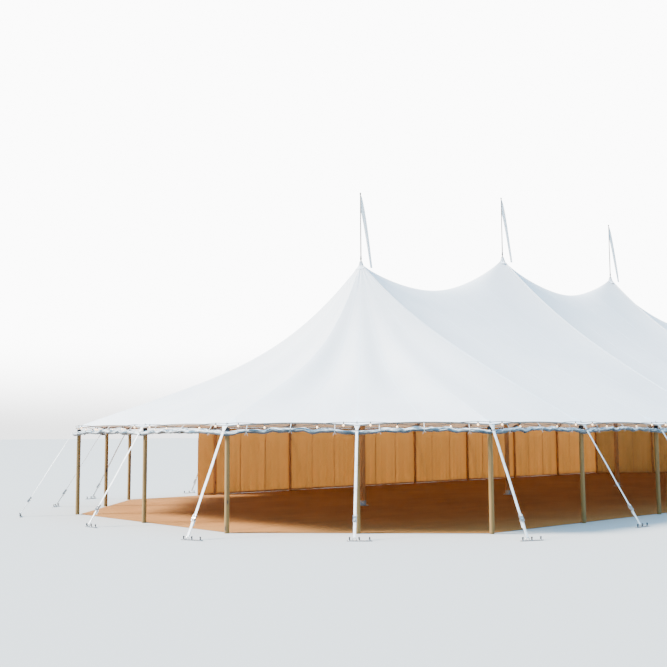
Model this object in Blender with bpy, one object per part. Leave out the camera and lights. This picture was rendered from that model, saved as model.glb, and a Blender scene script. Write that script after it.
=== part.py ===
"""Sailcloth pole marquee with four king poles, half-octagon ends and webbing guys.

Units are metres, +Z is up and Z = 0 is the ground. X runs along the ridge, Y across it.
The origin is on the ground, midway between the two middle king poles.
"""

import math

import bpy
import numpy as np
from mathutils import Vector

GAP = 0.0003

# Plan of the tent
BAY = 3.048
BAYS_PER_KING = 2
KING_COUNT = 4
HALF_WIDTH = 6.706
END_REACH = 6.55
HALF_END_FACET = 3.048

# Heights of the roof canvas
EAVE_HEIGHT = 2.06
END_PEAK = 6.40
MIDDLE_PEAK = 7.25
RIDGE_SAG = 0.84

# Shape of the roof canvas
CANVAS = 0.006
EDGE_LAP = 0.03
SCALLOP_IN = 0.08
SCALLOP_RISE = 0.055
SIDE_HOLLOW = 0.50
CREASE_HOLLOW = 1.10
PANEL_HOLLOW = 1.35
HOLLOW_FADE = 0.70
RIDGE_ROUND = 0.12
EDGE_STEPS = 3
ROOF_ROWS = (0.06, 0.15, 0.27, 0.42, 0.60, 0.80)

# Side poles
POLE_RADIUS = 0.050
PIN_RADIUS = 0.008
PIN_HEIGHT = 0.060
POLE_SIDES = 12

# King poles with the flagstaff on their spigot
KING_RADIUS = 0.070
KING_BASE_RADIUS = 0.150
KING_BASE_HEIGHT = 0.020
KING_TAPER = 0.130
KING_SHOULDER_DROP = 0.250
SPIGOT_RADIUS = 0.030
FERRULE_RADIUS = 0.042
FERRULE_LOW = 0.060
FERRULE_HIGH = 0.200
STAFF_RADIUS = 0.014
STAFF_HEIGHT = 1.97
FINIAL_RADIUS = 0.024
FINIAL_HEIGHT = 0.060
KING_SIDES = 16

# Pennants, hanging limp beside the staff
PENNANT_BELOW_FINIAL = 0.015
PENNANT_HOIST = 0.42
PENNANT_SWING = 0.29
PENNANT_TAIL = 0.05
PENNANT_LOW = -0.10
PENNANT_THICK = 0.010
PENNANT_SIDE = (0.743, -0.669)
PENNANT_STEPS = 6

# Eave webbing and guys
WEB_THICK = 0.006
WEB_DEPTH = 0.040
WEB_ABOVE = 0.002
WEB_BREAK = 0.1
STRAP_WIDTH = 0.050
STRAP_THICK = 0.005
GUY_REACH = 1.30
GUY_DROP = 0.018
RATCHET_ABOVE_FOOT = 0.28
RATCHET_LENGTH = 0.20
RATCHET_LEAD = 0.015
RATCHET_WIDTH = 0.080
RATCHET_THICK = 0.045
ANCHOR_HEIGHT = 0.012
ANCHOR_DEPTH = 0.060
ANCHOR_MARGIN = 0.045
STRAP_FOOT = 0.050
STAKE_PLACES = (-0.09, 0.09, 0.27)
STAKE_RADIUS = 0.016
STAKE_HEIGHT = 0.075
STAKE_SIDES = 6

# Walls, rolled walls, floor and festoon
WALL_THICK = 0.006
WALL_TOP_CLEAR = 0.002
WALL_START = 12.0
WALL_END = 21.2
ROLL_RADIUS = 0.045
ROLL_RISE = 0.055
ROLL_STRAP_CLEAR = 0.010
ROLL_SIDES = 8
ROLL_STEPS = 6
ROLL_CLEAR = 0.02
MAT_THICK = 0.012
MAT_INSET = 0.065
CABLE_RADIUS = 0.006
CABLE_SIDES = 6
CABLE_STEPS = 6
CABLE_ABOVE = 0.040
CABLE_SWAG = 0.115

EDGE_REACH = POLE_RADIUS + EDGE_LAP
KING_SPACING = BAYS_PER_KING * BAY
RIDGE = KING_SPACING * (KING_COUNT - 1)
HALF_RIDGE = RIDGE / 2
SIDE_POLES = BAYS_PER_KING * (KING_COUNT - 1) + 3
END_POLES = 5
POLES = 2 * (SIDE_POLES + END_POLES)
KINGS = [-HALF_RIDGE + k * KING_SPACING for k in range(KING_COUNT)]


def clear_scene():
    for obj in list(bpy.data.objects):
        bpy.data.objects.remove(obj, do_unlink=True)


def material(name, color, roughness, metallic=0.0):
    """A plain Principled material, made once for each name."""
    found = bpy.data.materials.get(name)
    if found:
        return found
    made = bpy.data.materials.new(name)
    made.use_nodes = True
    shader = made.node_tree.nodes["Principled BSDF"]
    shader.inputs["Base Color"].default_value = (*color, 1.0)
    shader.inputs["Roughness"].default_value = roughness
    shader.inputs["Metallic"].default_value = metallic
    made.diffuse_color = (*color, 1.0)
    return made


def sailcloth():
    return material("sailcloth", (0.80, 0.83, 0.86), 0.85)


def timber():
    return material("timber", (0.55, 0.38, 0.20), 0.70)


def webbing():
    return material("webbing", (0.85, 0.86, 0.88), 0.75)


def wall_canvas():
    return material("wall_canvas", (0.78, 0.66, 0.48), 0.85)


def coir():
    return material("coir", (0.62, 0.38, 0.22), 0.95)


def cable_rubber():
    return material("cable_rubber", (0.03, 0.03, 0.03), 0.60)


def add_object(name, points, faces, finish, hidden=False):
    """A mesh object in world coordinates."""
    mesh = bpy.data.meshes.new(name)
    mesh.from_pydata([tuple(map(float, p)) for p in points], [], faces)
    mesh.validate()
    mesh.update()
    obj = bpy.data.objects.new(name, mesh)
    obj.data.materials.append(finish)
    bpy.context.scene.collection.objects.link(obj)
    if hidden:
        obj.hide_render = True
        obj.display_type = "WIRE"
    return obj


def turned(name, profile, sides, centre, finish):
    """A round piece on a vertical axis, from (radius, height) pairs listed from bottom to top."""
    turns = np.arange(sides) * 2 * math.pi / sides
    points, faces = [], []
    for radius, height in profile:
        for turn in turns:
            points.append(
                (centre[0] + radius * math.cos(turn), centre[1] + radius * math.sin(turn), height)
            )
    for ring in range(len(profile) - 1):
        for i in range(sides):
            j = (i + 1) % sides
            low, high = ring * sides, (ring + 1) * sides
            faces.append((low + i, low + j, high + j, high + i))
    last = (len(profile) - 1) * sides
    faces.append(tuple(range(sides))[::-1])
    faces.append(tuple(last + i for i in range(sides)))
    obj = add_object(name, points, faces, finish)
    obj.data.shade_smooth()
    obj.data.set_sharp_from_angle(angle=math.radians(35))
    return obj


def loft(name, rings, finish, hidden=False):
    """A closed body through rings of equally many corners, capped at both ends."""
    sides = len(rings[0])
    points = [corner for ring in rings for corner in ring]
    faces = [tuple(range(sides))]
    for ring in range(len(rings) - 1):
        for i in range(sides):
            j = (i + 1) % sides
            low, high = ring * sides, (ring + 1) * sides
            faces.append((low + i, high + i, high + j, low + j))
    last = (len(rings) - 1) * sides
    faces.append(tuple(last + i for i in range(sides))[::-1])
    return add_object(name, points, faces, finish, hidden)


def pole_places():
    """Side pole centres, anticlockwise from the near side's west end."""
    reach = HALF_RIDGE + END_REACH
    first = HALF_RIDGE + BAY
    near = [(-first + i * BAY, -HALF_WIDTH) for i in range(SIDE_POLES)]
    middle = ((reach + first) / 2, (HALF_END_FACET + HALF_WIDTH) / 2)
    east = [
        (middle[0], -middle[1]),
        (reach, -HALF_END_FACET),
        (reach, 0.0),
        (reach, HALF_END_FACET),
        middle,
    ]
    half = near + east
    return np.array(half + [(-x, -y) for x, y in half])


def offset_line(line, distance):
    """The closed line moved outward by a distance, with mitred corners."""
    ahead = np.roll(line, -1, axis=0) - line
    ahead /= np.linalg.norm(ahead, axis=1)[:, None]
    normal = np.stack([ahead[:, 1], -ahead[:, 0]], axis=1)
    before = np.roll(normal, 1, axis=0)
    bisector = normal + before
    bisector /= np.linalg.norm(bisector, axis=1)[:, None]
    return line + distance * bisector / np.sum(bisector * normal, axis=1)[:, None]


def outward(line):
    """The unit outward bisector at each corner of the closed line."""
    moved = offset_line(line, 1.0) - line
    return moved / np.linalg.norm(moved, axis=1)[:, None]


def sample(line, steps, places):
    """Points of a closed line with so many steps a bay, at places counted in bays."""
    spots = np.asarray(places, float) * steps
    low = np.floor(spots + 1e-9).astype(int)
    part = (spots - low)[:, None]
    count = len(line)
    return line[low % count] * (1 - part) + line[(low + 1) % count] * part


def stations(start, stop, steps):
    """Start, stop and every step between them, counted in bays."""
    inner = np.arange(math.ceil(start * steps + 1e-6), math.ceil(stop * steps - 1e-6))
    return np.concatenate([[start], inner / steps, [stop]])


def fraction(places):
    """How far each place is into its bay, from 0 to 1."""
    return np.asarray(places) - np.floor(np.asarray(places) + 1e-9)


def bow(part):
    """A curve that is 0 at both ends of a bay and 1 at its middle."""
    return 4 * part * (1 - part)


def canvas_edge():
    """The scalloped edge of the roof canvas in plan, with EDGE_STEPS points a bay."""
    corners = offset_line(POLE_LINE, EDGE_REACH)
    following = np.roll(corners, -1, axis=0)
    ahead = following - corners
    length = np.linalg.norm(ahead, axis=1)[:, None]
    inward = np.stack([-ahead[:, 1], ahead[:, 0]], axis=1) / length
    rows = []
    for step in range(EDGE_STEPS):
        part = step / EDGE_STEPS
        rows.append(corners + ahead * part + inward * SCALLOP_IN * bow(part))
    return np.stack(rows, axis=1).reshape(-1, 2)


def edge_height(places):
    return EAVE_HEIGHT + SCALLOP_RISE * bow(fraction(places))


POLE_LINE = pole_places()
EDGE_LINE = canvas_edge()


def rail(name, line, steps, places, profile, heights, finish):
    """A body of one cross-section carried along a closed line.

    The profile lists (outward, up) corners, anticlockwise as seen looking along the line.
    """
    columns = [
        np.column_stack([sample(offset_line(line, out), steps, places), heights + up])
        for out, up in profile
    ]
    rings = np.stack(columns, axis=1)
    return loft(name, [list(map(tuple, ring)) for ring in rings], finish)


def rectangle(low_out, high_out, low_up, high_up):
    return [(low_out, low_up), (high_out, low_up), (high_out, high_up), (low_out, high_up)]


def circle(out, radius, sides):
    turns = (np.arange(sides) + 0.5) * 2 * math.pi / sides
    reach = radius / math.cos(math.pi / sides)
    return [(out + reach * math.cos(t), reach * math.sin(t)) for t in turns]


def peak_height(king):
    return END_PEAK if king in (0, KING_COUNT - 1) else MIDDLE_PEAK


def ridge_height(x):
    """The ridge sags as a parabola between two king poles."""
    king = min(max(int((x + HALF_RIDGE) // KING_SPACING), 0), KING_COUNT - 2)
    part = (x - KINGS[king]) / KING_SPACING
    low, high = peak_height(king), peak_height(king + 1)
    return low + (high - low) * part - RIDGE_SAG * bow(part), part


def fall(u, hollow):
    """Height share from 1 at the ridge to 0 at the eave, hollowed below a straight slope."""
    return (1 - u) * (1 - hollow * u * (1 - HOLLOW_FADE * u))


def shell(name, top, finish):
    """A canvas of vertical thickness CANVAS under a grid of top points."""
    rows, columns = top.shape[:2]
    count = rows * columns
    bottom = top.copy()
    bottom[:, :, 2] -= CANVAS
    points = np.concatenate([top.reshape(-1, 3), bottom.reshape(-1, 3)])
    faces = []
    for i in range(rows - 1):
        for j in range(columns - 1):
            a, b = i * columns + j, i * columns + j + 1
            c, d = a + columns, b + columns
            faces += [(a, c, d), (a, d, b)]
            faces += [(count + a, count + d, count + c), (count + a, count + b, count + d)]
    border = (
        [j for j in range(columns)]
        + [i * columns + columns - 1 for i in range(1, rows)]
        + [(rows - 1) * columns + j for j in range(columns - 2, -1, -1)]
        + [i * columns for i in range(rows - 2, 0, -1)]
    )
    for here, there in zip(border, border[1:] + border[:1]):
        faces.append((here, there, count + there))
        faces.append((here, count + there, count + here))
    return add_object(name, points, faces, finish)


def end_fan(name, king, first_pole):
    """The half-octagon end of the roof, fanned out from an end king pole."""
    side = -1 if king == 0 else 1
    bays = END_POLES + 3
    places = stations(first_pole, first_pole + bays, EDGE_STEPS)
    edge = sample(EDGE_LINE, EDGE_STEPS, places)
    edge[[0, -1], 0] += side * GAP / 2
    centre = np.array([KINGS[king] + side * GAP / 2, 0.0])
    away = edge - centre
    reach = np.linalg.norm(away, axis=1)
    away /= reach[:, None]
    low, high = edge_height(places), peak_height(king)
    hole = SPIGOT_RADIUS + GAP
    between = np.sin(math.pi * fraction(places)) ** 2
    hollow = CREASE_HOLLOW + (PANEL_HOLLOW - CREASE_HOLLOW) * between
    ends = np.zeros(len(places))
    ends[: EDGE_STEPS + 1] = np.linspace(1, 0, EDGE_STEPS + 1)
    ends[-EDGE_STEPS - 1 :] = np.linspace(0, 1, EDGE_STEPS + 1)
    hollow = hollow * (1 - ends) + SIDE_HOLLOW * ends
    rows = []
    for row in (0.0, *ROOF_ROWS, None, 1.0):
        share = 1 - EDGE_REACH / (reach - hole) if row is None else np.full(len(reach), row)
        out = hole + share * (reach - hole)
        height = low + (high - low) * fall(share, hollow)
        rows.append(np.column_stack([centre + away * out[:, None], height]))
    return shell(name, np.array(rows), sailcloth())


def middle_bay(name, king):
    """The roof between two king poles, from the near eave over the ridge to the far eave."""
    hole = math.sqrt(2) * (SPIGOT_RADIUS + GAP)
    columns = BAYS_PER_KING * EDGE_STEPS
    near_start = 1 + BAYS_PER_KING * king
    far_start = 2 * SIDE_POLES + END_POLES - 2 - BAYS_PER_KING * king
    near_places = near_start + np.arange(columns + 1) / EDGE_STEPS
    far_places = far_start - np.arange(columns + 1) / EDGE_STEPS
    grid = []
    for j in range(columns + 1):
        near = sample(EDGE_LINE, EDGE_STEPS, [near_places[j]])[0]
        far = sample(EDGE_LINE, EDGE_STEPS, [far_places[j]])[0]
        x = near[0] + GAP / 2 * (j == 0) - GAP / 2 * (j == columns)
        top, part = ridge_height(min(max(x, KINGS[king]), KINGS[king + 1] - 1e-6))
        rounding = RIDGE_ROUND * math.sin(math.pi * part) ** 2 + 1e-4
        column = []
        for edge, place in ((near, near_places[j]), (far, far_places[j])):
            reach = abs(edge[1])
            low = edge_height([place])[0]
            shares = [hole / reach, *ROOF_ROWS, 1 - EDGE_REACH / reach, 1.0]
            branch = []
            for share in shares:
                soft = math.hypot(share, rounding) - rounding
                soft /= math.hypot(1, rounding) - rounding
                branch.append((x, edge[1] * share, low + (top - low) * fall(soft, SIDE_HOLLOW)))
            column.append(branch)
        crest = x + hole * (j == 0) - hole * (j == columns)
        grid.append(column[0][::-1] + [(crest, 0.0, ridge_height(crest)[0])] + column[1])
    return shell(name, np.array(grid), sailcloth())


def pole_top(index):
    """The height of a side pole's pin, just under the canvas at its corner."""
    corner = EDGE_LINE[index * EDGE_STEPS]
    x = min(max(corner[0], KINGS[0]), KINGS[-1])
    if abs(x - corner[0]) > 1e-6:
        king = 0 if corner[0] < 0 else KING_COUNT - 1
        start, top, hollow = SPIGOT_RADIUS + GAP, peak_height(king), CREASE_HOLLOW
        reach = math.hypot(corner[0] - KINGS[king], corner[1])
        soft = 1 - EDGE_REACH / (reach - start)
    else:
        top, part = ridge_height(min(x, KINGS[-1] - 1e-6))
        rounding = RIDGE_ROUND * math.sin(math.pi * part) ** 2 + 1e-4
        share = 1 - EDGE_REACH / abs(corner[1])
        soft = (math.hypot(share, rounding) - rounding) / (math.hypot(1, rounding) - rounding)
        hollow = SIDE_HOLLOW
    rise = (top - EAVE_HEIGHT) * fall(soft, hollow)
    slope = rise / EDGE_REACH
    return EAVE_HEIGHT + rise - CANVAS - slope * PIN_RADIUS - GAP


def side_pole(index):
    pin_top = pole_top(index)
    shoulder = pin_top - PIN_HEIGHT
    profile = [
        (POLE_RADIUS, 0.0),
        (POLE_RADIUS, shoulder),
        (PIN_RADIUS, shoulder),
        (PIN_RADIUS, pin_top),
    ]
    return turned(f"side_pole_{index + 1:02d}", profile, POLE_SIDES, POLE_LINE[index], timber())


def king_pole(king):
    peak = peak_height(king)
    base = MAT_THICK + GAP
    profile = [
        (KING_BASE_RADIUS, base),
        (KING_BASE_RADIUS, base + KING_BASE_HEIGHT),
        (KING_RADIUS, base + KING_BASE_HEIGHT),
        (KING_RADIUS, peak - KING_SHOULDER_DROP),
        (SPIGOT_RADIUS, peak - KING_SHOULDER_DROP + KING_TAPER),
        (SPIGOT_RADIUS, peak + FERRULE_LOW),
        (FERRULE_RADIUS, peak + (FERRULE_LOW + FERRULE_HIGH) / 2),
        (STAFF_RADIUS, peak + FERRULE_HIGH),
        (STAFF_RADIUS, peak + STAFF_HEIGHT - FINIAL_HEIGHT),
        (FINIAL_RADIUS, peak + STAFF_HEIGHT - FINIAL_HEIGHT / 2),
        (FINIAL_RADIUS / 3, peak + STAFF_HEIGHT),
    ]
    return turned(f"king_pole_{king + 1}", profile, KING_SIDES, (KINGS[king], 0.0), timber())


def pennant(king):
    """A long tapering pennant, hoisted on the staff and hanging down beside it.

    Its outer edge swings out fast at first, and its inner edge leaves the staff below the hoist.
    """
    peak = peak_height(king)
    along = Vector((*PENNANT_SIDE, 0.0)).normalized()
    across = Vector((-along.y, along.x, 0.0))
    start = STAFF_RADIUS + GAP
    top = peak + STAFF_HEIGHT - FINIAL_HEIGHT - PENNANT_BELOW_FINIAL
    low = peak + PENNANT_LOW
    shares = [step / PENNANT_STEPS for step in range(PENNANT_STEPS + 1)]
    outer = [(start + PENNANT_SWING * t**0.6, top + (low - top) * t) for t in shares]
    inner_top = top - PENNANT_HOIST
    inner_swing = PENNANT_SWING - PENNANT_TAIL
    inner = [(start + inner_swing * t**0.9, inner_top + (low - inner_top) * t) for t in shares]
    outline = inner + outer[::-1]
    rings = [
        [
            Vector((KINGS[king], 0.0, height)) + along * out + across * shift
            for out, height in outline
        ]
        for shift in (PENNANT_THICK / 2, -PENNANT_THICK / 2)
    ]
    return loft(f"pennant_{king + 1}", rings, sailcloth())


def guy_rings(index):
    """Strap, ratchet, strap and anchor plate of one guy, as rings of four corners."""
    out = Vector((*outward(POLE_LINE)[index], 0.0))
    side = Vector((-out.y, out.x, 0.0))
    up = Vector((0.0, 0.0, 1.0))
    foot = Vector((*POLE_LINE[index], 0.0))
    corner = Vector((*EDGE_LINE[index * EDGE_STEPS], 0.0))
    top = corner + out * (GAP + WEB_THICK) + up * (EAVE_HEIGHT - GUY_DROP)
    low = foot + out * GUY_REACH + up * (ANCHOR_HEIGHT + STRAP_FOOT)
    length = (low - top).length
    ahead = (low - top).normalized()
    lift = side.cross(ahead)
    lift = lift if lift.z > 0 else -lift

    def slanted(distance, width, thick):
        centre = top + ahead * distance
        return [
            centre + side * (sy * width / 2) + lift * (sz * thick / 2)
            for sy, sz in ((-1, -1), (1, -1), (1, 1), (-1, 1))
        ]

    def flat(height, left, right, depth):
        centre = foot + out * GUY_REACH + up * height
        return [
            centre + side * sy + out * (sz * depth / 2)
            for sy, sz in ((left, -1), (right, -1), (right, 1), (left, 1))
        ]

    stop = length - RATCHET_ABOVE_FOOT
    start = stop - RATCHET_LENGTH
    half = STRAP_WIDTH / 2
    left = STAKE_PLACES[0] - ANCHOR_MARGIN
    right = STAKE_PLACES[-1] + ANCHOR_MARGIN
    return [
        slanted(0, STRAP_WIDTH, STRAP_THICK),
        slanted(start, STRAP_WIDTH, STRAP_THICK),
        slanted(start + RATCHET_LEAD, RATCHET_WIDTH, RATCHET_THICK),
        slanted(stop - RATCHET_LEAD, RATCHET_WIDTH, RATCHET_THICK),
        slanted(stop, STRAP_WIDTH, STRAP_THICK),
        slanted(length, STRAP_WIDTH, STRAP_THICK),
        flat(ANCHOR_HEIGHT, -half, half, ANCHOR_DEPTH / 3),
        flat(ANCHOR_HEIGHT, left, right, ANCHOR_DEPTH),
        flat(0.0, left, right, ANCHOR_DEPTH),
    ]


def stake_rings(index, place):
    out = Vector((*outward(POLE_LINE)[index], 0.0))
    side = Vector((-out.y, out.x, 0.0))
    centre = Vector((*POLE_LINE[index], 0.0)) + out * GUY_REACH + side * place
    turns = [2 * math.pi * i / STAKE_SIDES for i in range(STAKE_SIDES)]
    return [
        [
            centre + Vector((STAKE_RADIUS * math.cos(t), STAKE_RADIUS * math.sin(t), height))
            for t in turns
        ]
        for height in (ANCHOR_HEIGHT / 2, STAKE_HEIGHT)
    ]


def face_outward(obj):
    """Turns every face of a closed mesh to point out."""
    mesh = obj.data
    points = np.array([v.co for v in mesh.vertices])
    mesh.calc_loop_triangles()
    corners = points[np.array([t.vertices for t in mesh.loop_triangles])]
    if np.linalg.det(corners - points.mean(axis=0)).sum() < 0:
        mesh.flip_normals()


def guy_set(name, first, last, start, stop):
    """The eave webbing from start to stop, joined with the guys of poles first to last."""
    places = stations(start, stop, EDGE_STEPS)
    profile = rectangle(GAP, GAP + WEB_THICK, WEB_ABOVE - WEB_DEPTH, WEB_ABOVE)
    band = rail(
        name, EDGE_LINE, EDGE_STEPS, places, profile, edge_height(places), webbing()
    )
    face_outward(band)
    group = bpy.data.collections.new(name + "_guys")
    bpy.context.scene.collection.children.link(group)
    for index in range(first, last + 1):
        pieces = [loft(f"{name}_strap_{index}", guy_rings(index), webbing(), True)]
        for place in STAKE_PLACES:
            stake = stake_rings(index, place)
            pieces.append(loft(f"{name}_stake_{index}_{place:+.2f}", stake, webbing(), True))
        for piece in pieces:
            face_outward(piece)
            bpy.context.scene.collection.objects.unlink(piece)
            group.objects.link(piece)
    join = band.modifiers.new("join", "BOOLEAN")
    join.operation = "UNION"
    join.operand_type = "COLLECTION"
    join.collection = group
    join.solver = "EXACT"
    return band


def roll_drop():
    """How far below the eave a roll's middle lies at a pole, close inside the guy's slanting strap."""
    strap_out = EDGE_REACH + GAP + WEB_THICK
    reach = GUY_REACH - strap_out
    fall = EAVE_HEIGHT - GUY_DROP - ANCHOR_HEIGHT - STRAP_FOOT
    beside = POLE_RADIUS + GAP + ROLL_RADIUS - strap_out
    apart = ROLL_RADIUS + STRAP_THICK / 2 + ROLL_STRAP_CLEAR
    return GUY_DROP + (apart * math.hypot(reach, fall) + beside * fall) / reach


def rolled_wall(name, start, stop):
    """A side wall rolled up and tied under the eave, outside the poles and inside the guys."""
    places = stations(start, stop, ROLL_STEPS)
    heights = EAVE_HEIGHT - roll_drop() + ROLL_RISE * bow(fraction(places))
    profile = circle(POLE_RADIUS + GAP + ROLL_RADIUS, ROLL_RADIUS, ROLL_SIDES)
    obj = rail(name, POLE_LINE, 1, places, profile, heights, sailcloth())
    face_outward(obj)
    return obj


def hung_wall(name, start, stop):
    """A wall let down to the ground outside the poles."""
    places = stations(start, stop, 1)
    low = POLE_RADIUS + GAP
    top = EAVE_HEIGHT + WEB_ABOVE - WEB_DEPTH - WALL_TOP_CLEAR
    profile = rectangle(low, low + WALL_THICK, 0.0, top)
    obj = rail(name, POLE_LINE, 1, places, profile, 0 * places, wall_canvas())
    face_outward(obj)
    return obj


def floor_mat():
    outline = offset_line(POLE_LINE, -MAT_INSET)
    rings = [[(x, y, z) for x, y in outline] for z in (0.0, MAT_THICK)]
    obj = loft("floor_mat", rings, coir())
    face_outward(obj)
    return obj


def festoon(start, stop):
    """The lighting cable, over the canvas corners and in a shallow swag along each bay."""
    places = stations(start, stop, CABLE_STEPS)
    rise = CABLE_ABOVE - CABLE_SWAG * bow(fraction(places))
    out = GAP + WEB_THICK + GAP + CABLE_RADIUS
    profile = circle(out, CABLE_RADIUS, CABLE_SIDES)
    heights = edge_height(places) + rise
    obj = rail(
        "festoon_cable", EDGE_LINE, EDGE_STEPS, places, profile, heights, cable_rubber()
    )
    face_outward(obj)
    return obj


def roof():
    west_first = 2 * SIDE_POLES + END_POLES - 2
    east_first = SIDE_POLES - 2
    made = [end_fan("roof_west_end", 0, west_first)]
    made += [middle_bay(f"roof_middle_{king + 1}", king) for king in range(KING_COUNT - 1)]
    made.append(end_fan("roof_east_end", KING_COUNT - 1, east_first))
    for obj in made:
        face_outward(obj)


def guys():
    half = SIDE_POLES + END_POLES
    ends = WEB_BREAK, SIDE_POLES - 1 + WEB_BREAK
    apart = GAP / BAY
    guy_set("guys_near", 0, SIDE_POLES - 1, -ends[0], ends[1])
    guy_set("guys_east", SIDE_POLES, half - 1, ends[1] + apart, half - ends[0] - apart)
    guy_set("guys_far", half, half + SIDE_POLES - 1, half - ends[0], half + ends[1])
    guy_set("guys_west", half + SIDE_POLES, POLES - 1, half + ends[1] + apart, POLES - ends[0] - apart)


def walls():
    last = SIDE_POLES - 1
    apart = GAP / BAY
    corner = SIDE_POLES + END_POLES
    hung_wall("corner_wall", WALL_START + apart, corner - apart)
    hung_wall("far_wall", corner + apart, WALL_END)
    rolled_wall("rolled_wall_west", WALL_END + ROLL_CLEAR, POLES - apart)
    rolled_wall("rolled_wall_near", 0.0 + apart, last - apart)
    rolled_wall("rolled_wall_east", last + apart, WALL_START - apart)


def build():
    clear_scene()
    for index in range(POLES):
        side_pole(index)
    for king in range(KING_COUNT):
        king_pole(king)
        face_outward(pennant(king))
    roof()
    guys()
    walls()
    floor_mat()
    festoon(WALL_END + ROLL_CLEAR, POLES + WALL_START)


build()
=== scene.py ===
import collections
import functools
import math

import bpy
import numpy as np
from mathutils import Matrix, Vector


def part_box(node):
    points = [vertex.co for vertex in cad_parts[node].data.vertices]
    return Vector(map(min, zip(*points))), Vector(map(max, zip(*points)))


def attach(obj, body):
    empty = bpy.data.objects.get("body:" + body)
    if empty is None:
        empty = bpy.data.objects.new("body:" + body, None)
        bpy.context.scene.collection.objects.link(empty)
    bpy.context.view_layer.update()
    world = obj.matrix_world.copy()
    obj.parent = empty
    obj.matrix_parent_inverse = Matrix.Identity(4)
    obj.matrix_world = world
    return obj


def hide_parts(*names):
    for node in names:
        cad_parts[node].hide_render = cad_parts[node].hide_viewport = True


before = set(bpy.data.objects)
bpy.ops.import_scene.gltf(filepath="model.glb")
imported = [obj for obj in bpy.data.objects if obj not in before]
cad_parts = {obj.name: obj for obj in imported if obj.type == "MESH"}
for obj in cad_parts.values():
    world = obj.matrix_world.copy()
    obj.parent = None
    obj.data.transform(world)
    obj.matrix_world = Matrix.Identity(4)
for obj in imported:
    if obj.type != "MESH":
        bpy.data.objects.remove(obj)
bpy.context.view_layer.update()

# Looks of a sailcloth pole marquee. X runs along the ridge, Y across it and Z up, from the ground in
# mid-tent. A place along the eave is counted in bays, anticlockwise from the near side's west end, so
# that whole numbers are side poles.


def corners_of(node):
    """Lowest and highest corner of a node, as an array."""
    return np.array(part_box(node), float)


def named(start):
    """The frame's nodes whose names begin so, in order."""
    return sorted(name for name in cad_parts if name.startswith(start))


# Small clearances, shared with the CAD
GAP = 0.0003
CANVAS = 0.006
TINY = 1e-9

# Sizes read from the frame
SIDE_POLES = named("side_pole")
KING_POLES = named("king_pole")
POLES = len(SIDE_POLES)
POLE_LINE = np.array([corners_of(name)[:, :2].mean(axis=0) for name in SIDE_POLES])
POLE_RADIUS = np.ptp(corners_of(SIDE_POLES[0])[:, 0]) / 2
POLE_TOPS = [corners_of(name)[1, 2] for name in SIDE_POLES]
KINGS = np.array([corners_of(name)[:, 0].mean() for name in KING_POLES])
WEST_END = corners_of("roof_west_end")
STAFF_HEIGHT = corners_of(KING_POLES[0])[1, 2] - WEST_END[1, 2]
PEAKS = np.array([corners_of(name)[1, 2] for name in KING_POLES]) - STAFF_HEIGHT
EAVE = WEST_END[0, 2] + CANVAS
EDGE_REACH = POLE_LINE[:, 0].min() - WEST_END[0, 0]
BAY = POLE_LINE[1, 0] - POLE_LINE[0, 0]
KING_SPACING = KINGS[1] - KINGS[0]
BAYS_PER_KING = round(KING_SPACING / BAY)
STRAIGHT_POLES = BAYS_PER_KING * (len(KINGS) - 1) + 3
END_BAYS = POLES // 2 - STRAIGHT_POLES + 3
FAN_STARTS = {-1: POLES - END_BAYS + 1, 1: STRAIGHT_POLES - 2}
ROLL_BOX = corners_of("rolled_wall_near")
MAT_BOX = corners_of("floor_mat")

# Shape of the roof canvas, as in the frame
SCALLOP_IN = 0.08
SCALLOP_RISE = 0.055
SIDE_HOLLOW = 0.50
CREASE_HOLLOW = 1.10
PANEL_HOLLOW = 1.35
HOLLOW_FADE = 0.70
RIDGE_SAG = 0.84
RIDGE_ROUND = 0.12
CREASE_STARTS = 0.75
HOLE_RADIUS = 0.030 + GAP

# Fine form of the canvas
BAY_COLUMNS = 24
MIDDLE_COLUMNS = 81
COLUMN_CROWDING = 0.7
SLOPE_SHARES = np.linspace(0, 1, 84) ** 1.25
CLOTH_THICK = 0.004
PLEATS = 22
PLEAT_DEPTH = 0.006
PLEAT_REACH = 0.16
PULLS = 9
PULL_DEPTH = 0.007
PULL_REACH = 0.22
SLACK_DEPTH = 0.009
SEAM_WIDTH = 0.026
SEAM_STEP = 0.002
JOINT_WIDTH = 0.11
TAPE_THICK = 0.0014
STITCH_WIDTH = 0.0012
STITCH_PITCH = 0.008
STITCH_LENGTH = 0.62
ROPE_RADIUS = 0.007
ROPE_GIRTH = 0.044
PATCH_WIDTH = 0.24
PATCH_DEPTH = 0.42
PATCH_THICK = 0.002

# Cap over each peak
CAP_RADIUS = 0.038
CAP_RISE = 0.080
CAP_FALL = 0.070
CAP_DROP = 0.150
CAP_SHOULDER = 0.55
CAP_FOLDS = 9
CAP_COLUMNS = 132
CAP_GIRTH = 0.6

# Eave webbing and guys
WEB_SPACE = 0.006
WEB_THICK = 0.0045
WEB_DEPTH = 0.030
STRAP_WIDTH = 0.050
STRAP_THICK = 0.003
GUY_REACH = 1.30
GUY_DROP = 0.018
STRAP_FOOT = 0.050
RATCHET_LENGTH = 0.20
RATCHET_ABOVE_FOOT = 0.28
TAB_DEPTH = 0.10
ANCHOR_HEIGHT = 0.012
ANCHOR_DEPTH = 0.060
ANCHOR_MARGIN = 0.045
STAKE_PLACES = (-0.09, 0.09, 0.27)

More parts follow.
